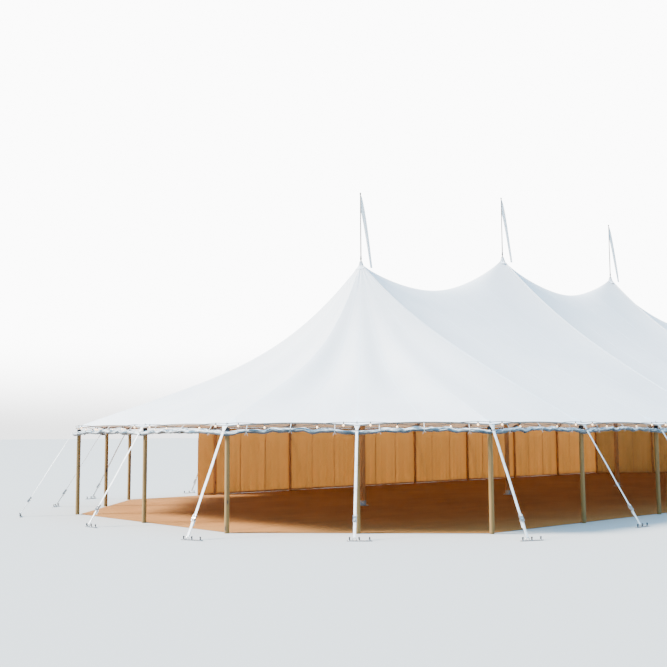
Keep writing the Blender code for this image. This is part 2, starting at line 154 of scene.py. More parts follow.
# Rolled walls, their ties and the walls let down
ROLL_RADIUS = np.ptp(ROLL_BOX[:, 1]) / 2
ROLL_LOW = ROLL_BOX[0, 2] + ROLL_RADIUS
ROLL_RISE = ROLL_BOX[1, 2] - ROLL_RADIUS - ROLL_LOW
ROLL_OUT = POLE_RADIUS + GAP + ROLL_RADIUS
ROLL_GIRTH = 0.25
ROLL_SIDES = 44
ROLL_RINGS_PER_BAY = 128
ROLL_CLEAR = 0.02
LAP_TOP = 2.0
TIES_PER_BAY = 3
TIE_WIDTH = 0.013
TIE_THICK = 0.0014
WALL_START = 12.0
WALL_CORNER = 14.0
WALL_END = 21.2
WALL_THICK = 0.0026
WALL_EASE = 0.45
WALL_COLUMNS_PER_BAY = 72
WALL_LOOP_PITCH = 0.1

# Matting
MAT_STRIPS = 7
MAT_JOINT = 1.6
MAT_SLIT = 0.0015
MAT_TOP = MAT_BOX[1, 2] - 0.001
MAT_UNDERSIDE = 0.0025

# Festoon lighting
CABLE_RADIUS = 0.006
CABLE_SKIN = 0.0058
CABLE_ABOVE = 0.040
CABLE_SWAG = 0.115
CABLE_RINGS_PER_BAY = 60
LAMPS_PER_BAY = 5

# Pennants
PENNANT_BELOW_TIP = 0.075
PENNANT_HOIST = 0.42
PENNANT_SWING = 0.29
PENNANT_TAIL = 0.05
PENNANT_LOW = -0.10
PENNANT_SIDE = (0.743, -0.669)
PENNANT_FULLNESS = 0.55
STAFF_RADIUS = 0.014

UP = (0.0, 0.0, 1.0)
UPRIGHT = ((1, 0, 0), (0, 1, 0), (0, 0, 1))
ALONG_X = ((0, 1, 0), (0, 0, 1), (1, 0, 0))
RANDOM = np.random.default_rng(7)

Part = collections.namedtuple("Part", "points faces uv finish")


# Mesh building

def unit(vectors):
    """Vectors brought to length 1."""
    return vectors / np.maximum(np.linalg.norm(vectors, axis=-1, keepdims=True), 1e-12)


def turns(count):
    """Angles evenly spaced round a full circle, from 0."""
    return np.linspace(0, 2 * math.pi, count, endpoint=False)


def circle(radius, sides):
    """Corners of a flat circle about the origin."""
    turn = turns(sides)
    return radius * np.stack([np.cos(turn), np.sin(turn)], -1)


def metres_along(path):
    """Distance along a path of points, from 0."""
    steps = np.linalg.norm(np.diff(path, axis=0), axis=-1)
    return np.concatenate([[0.0], np.cumsum(steps)])


def metres_round(outline):
    """Distance round a closed outline, from 0 to its whole girth."""
    return metres_along(np.concatenate([outline, outline[:1]]))


def grid_uv(grid):
    """A map in metres for a grid: distance along its middle row and down its middle column."""
    rows = metres_along(grid[:, grid.shape[1] // 2])
    columns = metres_along(grid[grid.shape[0] // 2])
    return np.stack(np.meshgrid(columns, rows), -1)


def grid_part(points, uv, wrap=False, loop=False, finish=0):
    """Quads over a grid of points. With wrap its last column meets its first, and with loop its last row.

    A grid that wraps and doesn't loop has both of its ends capped.
    """
    rows, columns = points.shape[:2]
    i, j = (index.ravel() for index in np.indices((rows - (not loop), columns - (not wrap))))
    n, k = (i + 1) % rows, (j + 1) % columns
    faces = [np.stack([i * columns + j, n * columns + j, n * columns + k, i * columns + k], 1)]
    maps = [np.stack([uv[i, j], uv[i + 1, j], uv[i + 1, j + 1], uv[i, j + 1]], 1)]
    if wrap and not loop:
        ring = np.arange(columns)
        faces += [ring[None], ((rows - 1) * columns + ring[::-1])[None]]
        maps += [uv[0, ring][None], uv[-1, ring[::-1]][None]]
    return Part(points.reshape(-1, 3), faces, maps, [finish] * len(faces))


def facing_out(part):
    """Turns a closed part's faces round where its volume comes out negative."""
    points = part.points - part.points.mean(axis=0)
    volume = 0.0
    for faces in part.faces:
        for k in range(1, faces.shape[1] - 1):
            spin = np.cross(points[faces[:, k]], points[faces[:, k + 1]])
            volume += np.sum(points[faces[:, 0]] * spin)
    if volume >= 0:
        return part
    return part._replace(faces=[f[:, ::-1] for f in part.faces], uv=[u[:, ::-1] for u in part.uv])


def closed_part(rings, around, along, loop=False, finish=0):
    """A closed body from rings of points, one a row, mapped by metres around the ring and along the rows."""
    uv = np.stack(np.meshgrid(around, along), -1)
    return facing_out(grid_part(rings, uv, True, loop, finish))


def carried_part(path, across, lift, profile, finish=0, around=None, along=None, loop=False):
    """A closed body: at each path point is the ring centre + a * across + b * lift, for (a, b) in profile.

    The profile is one list of corners, or one for each path point. With loop the path closes on itself.
    """
    profile = np.broadcast_to(profile, (len(path), *np.shape(profile)[-2:]))
    across, lift = (np.broadcast_to(axis, path.shape)[:, None] for axis in (across, lift))
    rings = path[:, None] + (across * profile[..., :1] + lift * profile[..., 1:])
    around = metres_round(profile[0]) if around is None else around
    if along is None:
        along = metres_round(path) if loop else metres_along(path)
    return closed_part(rings, around, along, loop, finish)


def tube_part(path, radius, sides, up=UP):
    """A round body along a path. Its side is its run crossed with up, and its lift is square to both."""
    run = unit(np.gradient(path, axis=0))
    side = unit(np.cross(run, up))
    return carried_part(path, side, np.cross(side, run), circle(radius, sides))


def loop_part(path, profile, normal, finish=0):
    """A bar or band round a flat loop: corners (a, b) are a off the loop in its plane and b along normal."""
    run = unit(np.roll(path, -1, axis=0) - np.roll(path, 1, axis=0))
    return carried_part(path, np.cross(run, normal), normal, profile, finish, loop=True)


def band_part(path, side, lift, width, thick):
    """A flat band along a path: a rectangle of width by thickness, with its long edges rounded."""
    profile = np.stack([rounded(w, thick, thick * 0.4) for w in np.broadcast_to(width, len(path))])
    return carried_part(path, side, lift, profile)


def turned_part(profile, sides, centre=(0.0, 0.0), finish=0, seed=None):
    """A round body about an upright axis: the (radius, height) profile turned through a full circle.

    With a seed it is a peeled pole, mapped by a side pole's girth: its middle is bowed aside by 4 mm, and its
    radius is times 1 + 0.012 sin(2a + 3z) + 0.008 sin(3a - 5z) at turn a and height z.
    """
    profile = np.asarray(profile, float)
    radius, height = profile[:, :1], profile[:, 1:]
    turn = turns(sides)
    girth = 2 * math.pi * (radius.max() if seed is None else POLE_RADIUS)
    if seed is not None:
        bend = 0.004 * np.sin(math.pi * height / height.max())
        centre = (centre[0] + bend * math.cos(seed), centre[1] + bend * math.sin(seed))
        waves = 0.012 * np.sin(2 * turn + 3 * height + seed)
        waves = waves + 0.008 * np.sin(3 * turn - 5 * height + 2 * seed)
        radius = radius * (1 + waves)
    x, y = centre[0] + radius * np.cos(turn), centre[1] + radius * np.sin(turn)
    rings = np.stack([x, y, height + 0 * turn], -1)
    return closed_part(rings, np.linspace(0, girth, sides + 1), metres_along(profile), finish=finish)


def slab_part(outline, thick):
    """A flat plate: an outline in X and Y, raised from half a thickness below Z = 0 to half above."""
    rings = [np.column_stack([outline, np.full(len(outline), z)]) for z in (-thick / 2, thick / 2)]
    return closed_part(np.stack(rings), metres_round(outline), [0.0, thick])


def normals_of(grid):
    """Unit normals of a grid, each the cross product of its steps along rows and along columns."""
    return unit(np.cross(np.gradient(grid, axis=0), np.gradient(grid, axis=1)))


def sheet_part(top, thick, uv, inner=0):
    """A thin closed sheet: the grid, a copy moved in along its normals by thick, and a rim between them."""
    rows, columns = top.shape[:2]
    count = rows * columns
    outer = grid_part(top, uv)
    quads, maps = outer.faces[0], outer.uv[0]
    down, over = np.arange(rows - 1), np.arange(columns - 1)
    border = np.concatenate([
        down * columns,
        (rows - 1) * columns + over,
        (rows - 1 - down) * columns + columns - 1,
        columns - 1 - over,
    ])
    following = np.roll(border, -1)
    rim = np.stack([following, border, border + count, following + count], 1)
    flat = uv.reshape(-1, 2)
    rim_map = np.stack([flat[following], flat[border], flat[border], flat[following]], 1)
    points = np.concatenate([outer.points, (top - normals_of(top) * thick).reshape(-1, 3)])
    turned = [0, 3, 2, 1]
    faces = [quads, (quads + count)[:, turned], rim]
    return Part(points, faces, [maps, maps[:, turned], rim_map], [0, inner, 0])


def placed(part, origin, axes=UPRIGHT):
    """A part moved from its own axes to the given ones."""
    return facing_out(part._replace(points=part.points @ np.array(axes, float) + np.asarray(origin, float)))


def rounded(width, height, corner, steps=3):
    """A rectangle about the origin, with a quarter circle of the corner radius at each of its corners."""
    turn = np.linspace(0, math.pi / 2, steps)
    points = []
    for quarter, (sx, sy) in enumerate(((1, 1), (-1, 1), (-1, -1), (1, -1))):
        angle = turn + quarter * math.pi / 2
        x = sx * (width / 2 - corner) + corner * np.cos(angle)
        points.append(np.column_stack([x, sy * (height / 2 - corner) + corner * np.sin(angle)]))
    return np.concatenate(points)


def capsule(length, width, steps=7):
    """A flat outline with straight sides and half-circle ends."""
    turn = np.linspace(-math.pi / 2, math.pi / 2, steps)
    right = np.column_stack([(length - width) / 2 + width / 2 * np.cos(turn), width / 2 * np.sin(turn)])
    return np.concatenate([right, -right])


def make(name, parts, finishes, replaces=(), sharp=40):
    """One object from closed parts. Its mesh is filled from whole arrays, and it rides on the tent."""
    starts = np.cumsum([0] + [len(part.points) for part in parts])
    faces = [group + start for start, part in zip(starts, parts) for group in part.faces]
    maps = [group.reshape(-1, 2) for part in parts for group in part.uv]
    kinds = [finish for part in parts for finish in part.finish]
    sizes = np.concatenate([np.full(len(group), group.shape[1]) for group in faces])
    corners = np.concatenate([group.ravel() for group in faces])
    mesh = bpy.data.meshes.new(name)
    mesh.vertices.add(starts[-1])
    points = np.concatenate([part.points for part in parts])
    mesh.vertices.foreach_set("co", points.astype(np.float32).ravel())
    mesh.loops.add(len(corners))
    mesh.loops.foreach_set("vertex_index", corners.astype(np.int32))
    mesh.polygons.add(len(sizes))
    mesh.polygons.foreach_set("loop_start", (np.cumsum(sizes) - sizes).astype(np.int32))
    slots = np.concatenate([np.full(len(group), kind) for group, kind in zip(faces, kinds)])
    mesh.polygons.foreach_set("material_index", slots.astype(np.int32))
    layer = mesh.uv_layers.new(name="metres")
    layer.data.foreach_set("uv", np.concatenate(maps).astype(np.float32).ravel())
    mesh.update(calc_edges=True)
    mesh.validate()
    mesh.shade_smooth()
    mesh.set_sharp_from_angle(angle=math.radians(sharp))
    obj = bpy.data.objects.new(name, mesh)
    bpy.context.scene.collection.objects.link(obj)
    for finish in finishes:
        mesh.materials.append(finish)
    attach(obj, "root")
    if replaces:
        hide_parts(*replaces)
    return obj


# Finishes

def fill(tree, socket, value):
    """Links a value to a socket, or sets it there. A plain colour gets its fourth channel."""
    if isinstance(value, Value):
        tree.links.new(value.socket, socket)
    elif isinstance(value, tuple) and socket.type == "RGBA":
        socket.default_value = (*value, 1.0)
    else:
        socket.default_value = value


def put(tree, kind, inputs=None, output=0, **settings):
    """Adds a node, fills its inputs and returns one of its outputs."""
    node = tree.nodes.new("ShaderNode" + kind)
    for key, value in settings.items():
        setattr(node, key, value)
    for key, value in (inputs or {}).items():
        fill(tree, node.inputs[key], value)
    return Value(tree, node.outputs[output])


class Value:
    """A number, place or colour in a node tree. Arithmetic on it adds Math nodes."""

    def __init__(self, tree, socket):
        self.tree = tree
        self.socket = socket

    def math(self, operation, other=0.5):
        """This value through a Math node, with a second one where the operation takes two."""
        return put(self.tree, "Math", {0: self, 1: other}, operation=operation)

    def __add__(self, other):
        return self.math("ADD", other)

    def __sub__(self, other):
        return self.math("SUBTRACT", other)

    def __mul__(self, other):
        return self.math("MULTIPLY", other)

    def part(self, axis):
        """One of the three numbers of a place."""
        return put(self.tree, "SeparateXYZ", {0: self}, axis)

    def ramp(self, low, high):
        """0 at low, 1 at high and smooth between them. Low may be above high."""
        inputs = {"Value": self, "From Min": low, "From Max": high}
        return put(self.tree, "MapRange", inputs, interpolation_type="SMOOTHSTEP")

    def mix(self, first, second):
        """A colour between two: first where this is 0, second where it is 1."""
        return put(self.tree, "Mix", {0: self, 6: first, 7: second}, 2, data_type="RGBA")

    def noise(self, scale=1.0, detail=4.0, rough=0.55):
        """Uneven patches over a place, with detail layers that each keep rough of the one before."""
        inputs = {"Vector": self, "Scale": scale, "Detail": detail, "Roughness": rough}
        return put(self.tree, "TexNoise", inputs, "Fac")

    def stretched(self, x, y, z=1.0, turn=0.0):
        """A place turned about Z and scaled, which draws a pattern out along the smaller scales."""
        inputs = {"Vector": self, "Rotation": (0.0, 0.0, turn), "Scale": (x, y, z)}
        return put(self.tree, "Mapping", inputs)


class Finish:
    """A finish in the making: a new material with its Principled shader."""

    def __init__(self, name, color, roughness, metallic=0.0, sheen=0.0):
        self.material = bpy.data.materials.new(name)
        self.material.use_nodes = True
        self.tree = self.material.node_tree
        self.shader = self.tree.nodes["Principled BSDF"]
        self.give("Base Color", color)
        self.give("Roughness", roughness)
        self.give("Metallic", metallic)
        self.give("Sheen Weight", sheen)

    @property
    def uv(self):
        """The piece's own map, in metres."""
        return put(self.tree, "UVMap", uv_map="metres")

    @property
    def place(self):
        """The place in the tent, in metres."""
        return put(self.tree, "TexCoord", output="Object")

    def give(self, socket, value):
        """Links or sets one of the shader's own sockets."""
        fill(self.tree, self.shader.inputs[socket], value)

    def raise_by(self, height, distance, strength):
        """Bumps the surface by a height."""
        inputs = {"Height": height, "Distance": distance, "Strength": strength}
        self.give("Normal", put(self.tree, "Bump", inputs))

    def let_light_through(self, color, share):
        """Mixes in a Translucent shader, so that a cloth glows with the light behind it."""
        glow = put(self.tree, "BsdfTranslucent", {"Color": color})
        both = {0: share, 1: Value(self.tree, self.shader.outputs[0]), 2: glow}
        surface = self.tree.nodes["Material Output"].inputs["Surface"]
        fill(self.tree, surface, put(self.tree, "MixShader", both))


def times(color, by):
    """A colour made lighter or darker, up to full."""
    return tuple(min(1.0, channel * by) for channel in color)


def weave(uv, warp, weft):
    """Plain weave in 0 to 1: the product of one sine across the warp threads and one across the weft."""
    across = (uv.part(0) * (2 * math.pi / warp)).math("SINE")
    along = (uv.part(1) * (2 * math.pi / weft)).math("SINE")
    return across * along * 0.5 + 0.5


def stitches(uv, centre):
    """1 on the dashes of a stitch line that runs along the map's second axis at centre on its first."""
    near = (uv.part(0) - centre).math("ABSOLUTE").math("LESS_THAN", STITCH_WIDTH)
    dash = uv.part(1).math("DIVIDE", STITCH_PITCH).math("FRACT")
    return near * dash.math("LESS_THAN", STITCH_LENGTH)


def sailcloth_finish(name, light, dark, glow, share):
    """Sailcloth: a fine plain weave, faint damp marks and soft handling creases."""
    cloth = Finish(name, light, 0.72, sheen=0.12)
    marks = cloth.place.noise(0.35, 5.0).ramp(0.42, 0.78)
    streaks = cloth.uv.stretched(5.0, 0.5).noise(1.0, 3.0).ramp(0.5, 0.85)
    cloth.give("Base Color", (marks * 0.7 + streaks * 0.35).mix(light, dark))
    creases = cloth.place.noise(3.2, 6.0, 0.6)
    cloth.raise_by(weave(cloth.uv, 0.0022, 0.0022) * 0.05 + creases, 0.006, 0.35)
    cloth.give("Roughness", creases * 0.2 + 0.62)
    cloth.let_light_through(glow, share)
    return cloth.material


def tape_finish(name, color, stitch, edge, glow, share):
    """Sewn tape: a ribbed weave with a row of stitches near each edge."""
    tape = Finish(name, color, 0.7, sheen=0.1)
    rows = stitches(tape.uv, edge).math("MAXIMUM", stitches(tape.uv, SEAM_WIDTH - edge))
    worn = tape.place.noise(2.2, 5.0).ramp(0.45, 0.8)
    base = (worn * 0.4).mix(color, times(color, 0.82))
    tape.give("Base Color", rows.mix(base, stitch))
    tape.raise_by(weave(tape.uv, 0.003, 0.0016) + rows * 0.8, 0.0006, 0.5)
    tape.let_light_through(glow, share)
    return tape.material


def webbing_finish(name, color, grime):
    """Polyester webbing: a herringbone of ribs that lean left and right by turns, grimy in patches."""
    webbing = Finish(name, color, 0.62, sheen=0.15)
    fold = webbing.uv.part(0).math("PINGPONG", 0.008)
    ribs = ((fold + webbing.uv.part(1)) * (2 * math.pi / 0.005)).math("SINE")
    dirt = webbing.place.noise(9.0, 6.0).ramp(0.42, 0.75)
    webbing.give("Base Color", (dirt * 0.55).mix(color, grime))
    webbing.raise_by(ribs, 0.0005, 0.6)
    return webbing.material


def rolled_finish(name, light, film, painted_shade):
    """The outside of a rolled wall: pale cloth and blue film in wrung patches, with painted shade in its
    creases and on its underside.

    Its map runs round the roll from the top by ROLL_GIRTH, so half of that is the underside.
    """
    roll = Finish(name, light, 0.5, sheen=0.15)
    bands = roll.uv.stretched(30.0, 3.6, turn=0.30).noise(1.0, 4.0, 0.5).ramp(0.42, 0.58)
    creases = roll.uv.stretched(70.0, 7.0, turn=0.40).noise(1.0, 6.0, 0.65)
    patches = roll.uv.stretched(9.0, 1.8).noise(1.0, 3.0).ramp(0.44, 0.60)
    from_under = (roll.uv.part(0) - ROLL_GIRTH / 2).math("ABSOLUTE")
    wander = roll.uv.stretched(6.0, 5.0).noise(1.0, 3.0) * 0.05
    # below is 1 on the underside: painted shade.
    below = (from_under - wander).ramp(0.050, 0.018)
    base = bands.mix(light, patches.mix(film, times(film, 2.1)))
    # Painted shade: the creases and the underside are darkened towards the near-black third colour.
    shade = (creases.ramp(0.55, 0.42) * 0.8).math("MAXIMUM", below * 0.9)
    roll.give("Base Color", shade.mix(base, painted_shade))
    roll.raise_by(creases + roll.place.noise(60.0, 3.0) * 0.25, 0.010, 0.9)
    roll.give("Roughness", bands.ramp(1.6, -0.5))
    return roll.material


def cap_finish(name, light, dark):
    """Gathered canvas: vertical folds painted with dirt and shade, strongest near the top and fading out down
    the cap.
    """
    cap = Finish(name, light, 0.75, sheen=0.1)
    streaks = cap.uv.stretched(42.0, 2.0).noise().ramp(0.44, 0.60)
    upper = cap.uv.part(1).ramp(0.24, 0.02)
    # Painted shade and dirt: the folds darken towards the dark colour, most near the top.
    cap.give("Base Color", (streaks * (upper * 0.8 + 0.12)).mix(light, dark))
    cap.raise_by(cap.uv.stretched(60.0, 4.0).noise() + weave(cap.uv, 0.003, 0.003), 0.003, 0.5)
    return cap.material


def wall_finish(name, light, dark, glow, share):
    """Wall canvas: a plain weave, water marks near the foot and soft vertical bands of painted shade."""
    wall = Finish(name, light, 0.82)
    wall.give("Specular IOR Level", 0.2)
    foot = (wall.place.part(2) + wall.place.noise(3.0) * 0.5).ramp(0.62, 0.18)
    # Painted shade: soft vertical bands darken the cloth, standing in for the shading of its drapes.
    soft = wall.uv.stretched(1.6, 0.25).noise().ramp(0.38, 0.72)
    wall.give("Base Color", (foot * 0.55).math("MAXIMUM", soft * 0.6).mix(light, dark))
    wall.raise_by(weave(wall.uv, 0.003, 0.003) * 0.06 + wall.place.noise(5.0, 6.0), 0.006, 0.4)
    wall.let_light_through(glow, share)
    return wall.material


def timber_finish(name, light, dark, knot):
    """Peeled softwood: grain along the pole, dark growth streaks, round knots and a dull handled sheen."""
    timber = Finish(name, light, 0.6)
    grain = timber.place.stretched(60.0, 60.0, 1.3).noise(1.0, 6.0, 0.6)
    broad = timber.place.stretched(9.0, 9.0, 0.7).noise(1.0, 3.0)
    streaks = grain.ramp(0.42, 0.66) * broad.ramp(0.25, 0.75)
    cells = {"Vector": timber.place.stretched(7.0, 7.0, 2.3), "Scale": 1.0}
    from_knot = put(timber.tree, "TexVoronoi", cells, "Distance")
    knots = from_knot.ramp(0.16, 0.07)
    wood = (from_knot.ramp(0.30, 0.14) * 0.35).mix(streaks.mix(light, dark), dark)
    timber.give("Base Color", knots.mix(wood, knot))
    timber.raise_by(grain + knots * 0.8, 0.0015, 0.8)
    timber.give("Roughness", grain.ramp(-0.9, 1.3))
    return timber.material


def coir_finish(name, light, dark, pale):
    """Coir matting: a basket weave of thick yarns, each fibrous, with sun-bleached and trodden patches."""
    coir = Finish(name, light, 0.95)
    coir.give("Specular IOR Level", 0.1)
    yarns = weave(coir.uv, 0.024, 0.018)
    fibre = coir.uv.stretched(300.0, 90.0).noise(1.0, 3.0, 0.7)
    patches = coir.place.noise(0.55, 5.0).ramp(0.35, 0.75)
    lanes = coir.place.stretched(0.4, 2.4).noise(1.0, 3.0).ramp(0.4, 0.75)
    base = (patches * 0.7).mix(light, pale)
    for shade in (lanes * 0.35, yarns.ramp(0.75, 0.15) * 0.6, fibre * 0.35):
        base = shade.mix(base, dark)
    coir.give("Base Color", base)
    coir.raise_by(yarns + fibre * 0.6, 0.004, 0.8)
    return coir.material


def steel_finish(name, color, rust, amount, metallic=0.9):
    """Galvanised steel: a mottle of zinc spangles, dulled, with rust that starts in patches."""
    steel = Finish(name, color, 0.42, metallic=metallic)
    tone = put(steel.tree, "TexVoronoi", {"Vector": steel.place, "Scale": 90.0}, "Color").part(0)
    base = (tone * 0.35).mix(color, times(color, 0.6))
    rusty = steel.place.noise(22.0, 7.0, 0.65).ramp(1.0 - amount, 1.15 - amount)
    steel.give("Base Color", rusty.mix(base, rust))
    steel.give("Metallic", rusty * -metallic + metallic)
    steel.give("Roughness", (rusty + tone).ramp(-0.9, 2.6))
    steel.raise_by(steel.place.noise(240.0), 0.0008, 0.4)
    return steel.material


def rubber_finish(name, color):
    """Dark rubber or paint: pale dust in patches over a fine pebbled skin."""
    rubber = Finish(name, color, 0.55)
    dust = rubber.place.noise(14.0, 5.0).ramp(0.4, 0.8)
    rubber.give("Base Color", (dust * 0.5).mix(color, (0.11, 0.10, 0.09)))
    rubber.raise_by(rubber.place.noise(300.0, 2.0), 0.0005, 0.5)
    return rubber.material


def bulb_finish(name, color, strength):
    """A lit frosted lamp: warm light that is a little uneven over the glass."""
    glass = Finish(name, (0.95, 0.90, 0.80), 0.25)
    glow = glass.place.noise(40.0, 2.0).mix(color, times(color, 1.15))
    glass.give("Emission Color", glow)
    glass.give("Base Color", glow)
    glass.give("Emission Strength", strength)
    return glass.material


CANVAS_WHITE = (0.84, 0.88, 0.92)
CANVAS_GLOW = (0.84, 0.87, 0.90)
SAILCLOTH = sailcloth_finish("white_sailcloth", CANVAS_WHITE, (0.69, 0.74, 0.79), CANVAS_GLOW, 0.42)
# The underside is the same ivory sailcloth, painted dark warm brown as shade, with orange painted into the
# light it lets through.
UNDERSIDE_PAINTED_SHADE = sailcloth_finish(
    "sailcloth_underside_painted_shade", (0.30, 0.150, 0.074), (0.22, 0.108, 0.052), (0.80, 0.48, 0.27), 0.27)
# The seam tape is the canvas's white cloth toned darker: painted shade, so that it reads like the canvas.
SEAM_TAPE_PAINTED_SHADE = tape_finish("seam_tape", (0.71, 0.75, 0.79), (0.62, 0.66, 0.70), 0.005, CANVAS_GLOW, 0.38)
# The bolt rope and the eave webbing are painted dark brown: painted shade that draws the dark line along the
# eave.
BOLT_ROPE_PAINTED_SHADE = webbing_finish("eave_bolt_rope", (0.13, 0.105, 0.085), (0.06, 0.05, 0.045))
EAVE_WEBBING_PAINTED_SHADE = webbing_finish("eave_webbing", (0.26, 0.205, 0.165), (0.14, 0.115, 0.095))
WEBBING = webbing_finish("white_webbing", (0.62, 0.63, 0.63), (0.30, 0.28, 0.25))
# The cloth of the corner patches and joint flaps is toned darker in the same way: painted shade.
PATCH_CLOTH_PAINTED_SHADE = tape_finish(
    "corner_patch_cloth", (0.70, 0.74, 0.78), (0.60, 0.64, 0.68), 0.006, CANVAS_GLOW, 0.34)
CAP_CLOTH = cap_finish("peak_cap_cloth", (0.56, 0.59, 0.63), (0.14, 0.14, 0.15))
# The third colour is the near-black painted shade in the roll's creases and on its underside.
ROLLED = rolled_finish("rolled_wall_cloth", (0.55, 0.59, 0.62), (0.030, 0.068, 0.098), (0.008, 0.013, 0.017))
TIE_TAPE = webbing_finish("roll_tie_tape", (0.52, 0.53, 0.53), (0.24, 0.23, 0.21))
# The cream wall cloth is painted tan-orange with an orange glow: painted warm light falling on it and through
# it.
WALL = wall_finish("wall_canvas_cream_painted_warm_light", (0.55, 0.345, 0.145), (0.36, 0.218, 0.085), (0.78, 0.50, 0.215), 0.34)
TIMBER = timber_finish(
    "peeled_pole_timber", (0.175, 0.098, 0.022), (0.085, 0.044, 0.012), (0.024, 0.012, 0.006))
# A paler copy of the pole timber: painted light for the poles beside the walls let down and for the king
# masts, which stand in shade.
PAINTED_LIGHTER_TIMBER = timber_finish(
    "pole_timber_painted_lighter", (0.40, 0.190, 0.060), (0.23, 0.105, 0.034), (0.060, 0.030, 0.013))
COIR = coir_finish("coir_matting", (0.255, 0.114, 0.033), (0.142, 0.060, 0.016), (0.315, 0.152, 0.049))
STEEL = steel_finish("galvanised_steel", (0.34, 0.345, 0.35), (0.13, 0.06, 0.028), 0.34)
DARK_IRON = steel_finish("dark_iron", (0.030, 0.030, 0.033), (0.060, 0.028, 0.016), 0.36, 0.35)
STAFF_PAINT = rubber_finish("dark_staff_paint", (0.050, 0.044, 0.042))
RUBBER = rubber_finish("cable_rubber_black", (0.018, 0.018, 0.018))
# The wall tapes are cream tape painted tan-orange in the same way: painted warm light.
WALL_TAPE = tape_finish(
    "wall_seam_tape_painted_warm_light", (0.50, 0.31, 0.130), (0.35, 0.21, 0.084), 0.005, (0.68, 0.43, 0.18), 0.28)
PENNANT = sailcloth_finish("pennant_cloth", (0.80, 0.79, 0.77), (0.70, 0.70, 0.69), (0.88, 0.87, 0.86), 0.5)
BULB = bulb_finish("warm_lamp_glass", (1.0, 0.60, 0.34), 3.2)


# Eave line and roof formulas

def bay_of(places):
    """The bay that each place is in, counted from 0."""
    return np.floor(places + TINY).astype(int)


def fraction(places):
    """How far each place is into its bay, from 0 to 1."""
    return places - bay_of(places)


def bow(part):
    """A parabola that is 0 at both ends and 1 midway."""
    return 4 * part * (1 - part)


def bell(distance, width):
    """exp(-(distance / width)^2), which is 1 in the middle."""
    return np.exp(-((distance / width) ** 2))


def smooth(part):
    """0 below 0, 1 above 1, and p^2 (3 - 2p) between them."""
    part = np.clip(part, 0, 1)
    return part**2 * (3 - 2 * part)


def outward_of(run):
    """Plan vectors turned a quarter to the right, which is outward for a run round the tent."""
    return np.stack([run[..., 1], -run[..., 0]], -1)


def offset_line(line, distance):
    """A closed line moved outward by a distance, with mitred corners."""
    normal = outward_of(unit(np.roll(line, -1, axis=0) - line))
    bisector = unit(normal + np.roll(normal, 1, axis=0))
    return line + distance * bisector / np.sum(bisector * normal, axis=1, keepdims=True)


MITRES = offset_line(POLE_LINE, 1.0) - POLE_LINE
OUTWARD = unit(MITRES)
EDGE_CORNERS = offset_line(POLE_LINE, EDGE_REACH)
EDGE_OUTWARD = outward_of(unit(np.roll(EDGE_CORNERS, -1, axis=0) - EDGE_CORNERS))


def on_line(line, places):
    """Points of a closed line with one corner a bay, straight between its corners."""
    bay, part = bay_of(places), fraction(places)[..., None]
    return line[bay % POLES] * (1 - part) + line[(bay + 1) % POLES] * part


def edge_plan(places):
    """The canvas edge in plan: straight from corner to corner, drawn in by SCALLOP_IN times a parabola."""
    drawn = (SCALLOP_IN * bow(fraction(places)))[..., None]
    return on_line(EDGE_CORNERS, places) - EDGE_OUTWARD[bay_of(places) % POLES] * drawn


def edge_height(places):
    """The canvas edge's height: the eave at the poles, SCALLOP_RISE higher midway."""
    return EAVE + SCALLOP_RISE * bow(fraction(places))


def edge_path(places, out=0.0, up=0.0):
    """Points along the canvas edge, moved outward in plan and up."""
    plan = edge_plan(places)
    plan = plan + out * outward_of(unit(np.gradient(plan, axis=0)))
    return np.column_stack([plan, edge_height(places) + up])


def flat_frame(path):
    """Outward and up vectors of a path that runs round the tent."""
    outward = outward_of(unit(np.gradient(path, axis=0)[:, :2]))
    outward = np.column_stack([outward, np.zeros(len(path))])
    return outward, np.broadcast_to(UP, outward.shape)


def spot_on(curve, place):
    """The point of a curve round the tent at one place, with its outward and up vectors and its run."""
    near = curve(place + np.array([-0.004, 0.0, 0.004]))
    outward, up = (axis[1] for axis in flat_frame(near))
    return near[1], outward, up, np.cross(up, outward)


def fall(share, hollow):
    """Height share from 1 at the ridge to 0 at the eave: (1 - u)(1 - h u(1 - f u)), hollowed by h."""
    return (1 - share) * (1 - hollow * share * (1 - HOLLOW_FADE * share))


def gathers(x, y, reach, count):
    """Folds r e^(1 - r) cos(n a) round the origin, with r in reaches and a the turn from X."""
    away = np.hypot(x, y) / reach
    return away * np.exp(1 - away) * np.cos(count * np.arctan2(y, x))


def relief(x, y, edge):
    """Small folds by place in plan, faded out at the eave by edge, which is 1 there.

    Pleats gather round each king pole and pulls round each side pole, over two slow waves of slack.
    """
    total = SLACK_DEPTH * (np.sin(1.1 * x + 0.7 * y) + np.sin(0.6 * x - 1.7 * y + 1.0)) / 2
    for king in KINGS:
        total = total + PLEAT_DEPTH * gathers(x - king, y, PLEAT_REACH, PLEATS)
    for pole, out in zip(POLE_LINE, OUTWARD):
        dx, dy = x - pole[0], y - pole[1]
        inward, aside = -(dx * out[0] + dy * out[1]), dx * out[1] - dy * out[0]
        total = total + PULL_DEPTH * gathers(inward, aside, PULL_REACH, PULLS)
    return total * (1 - edge**10)


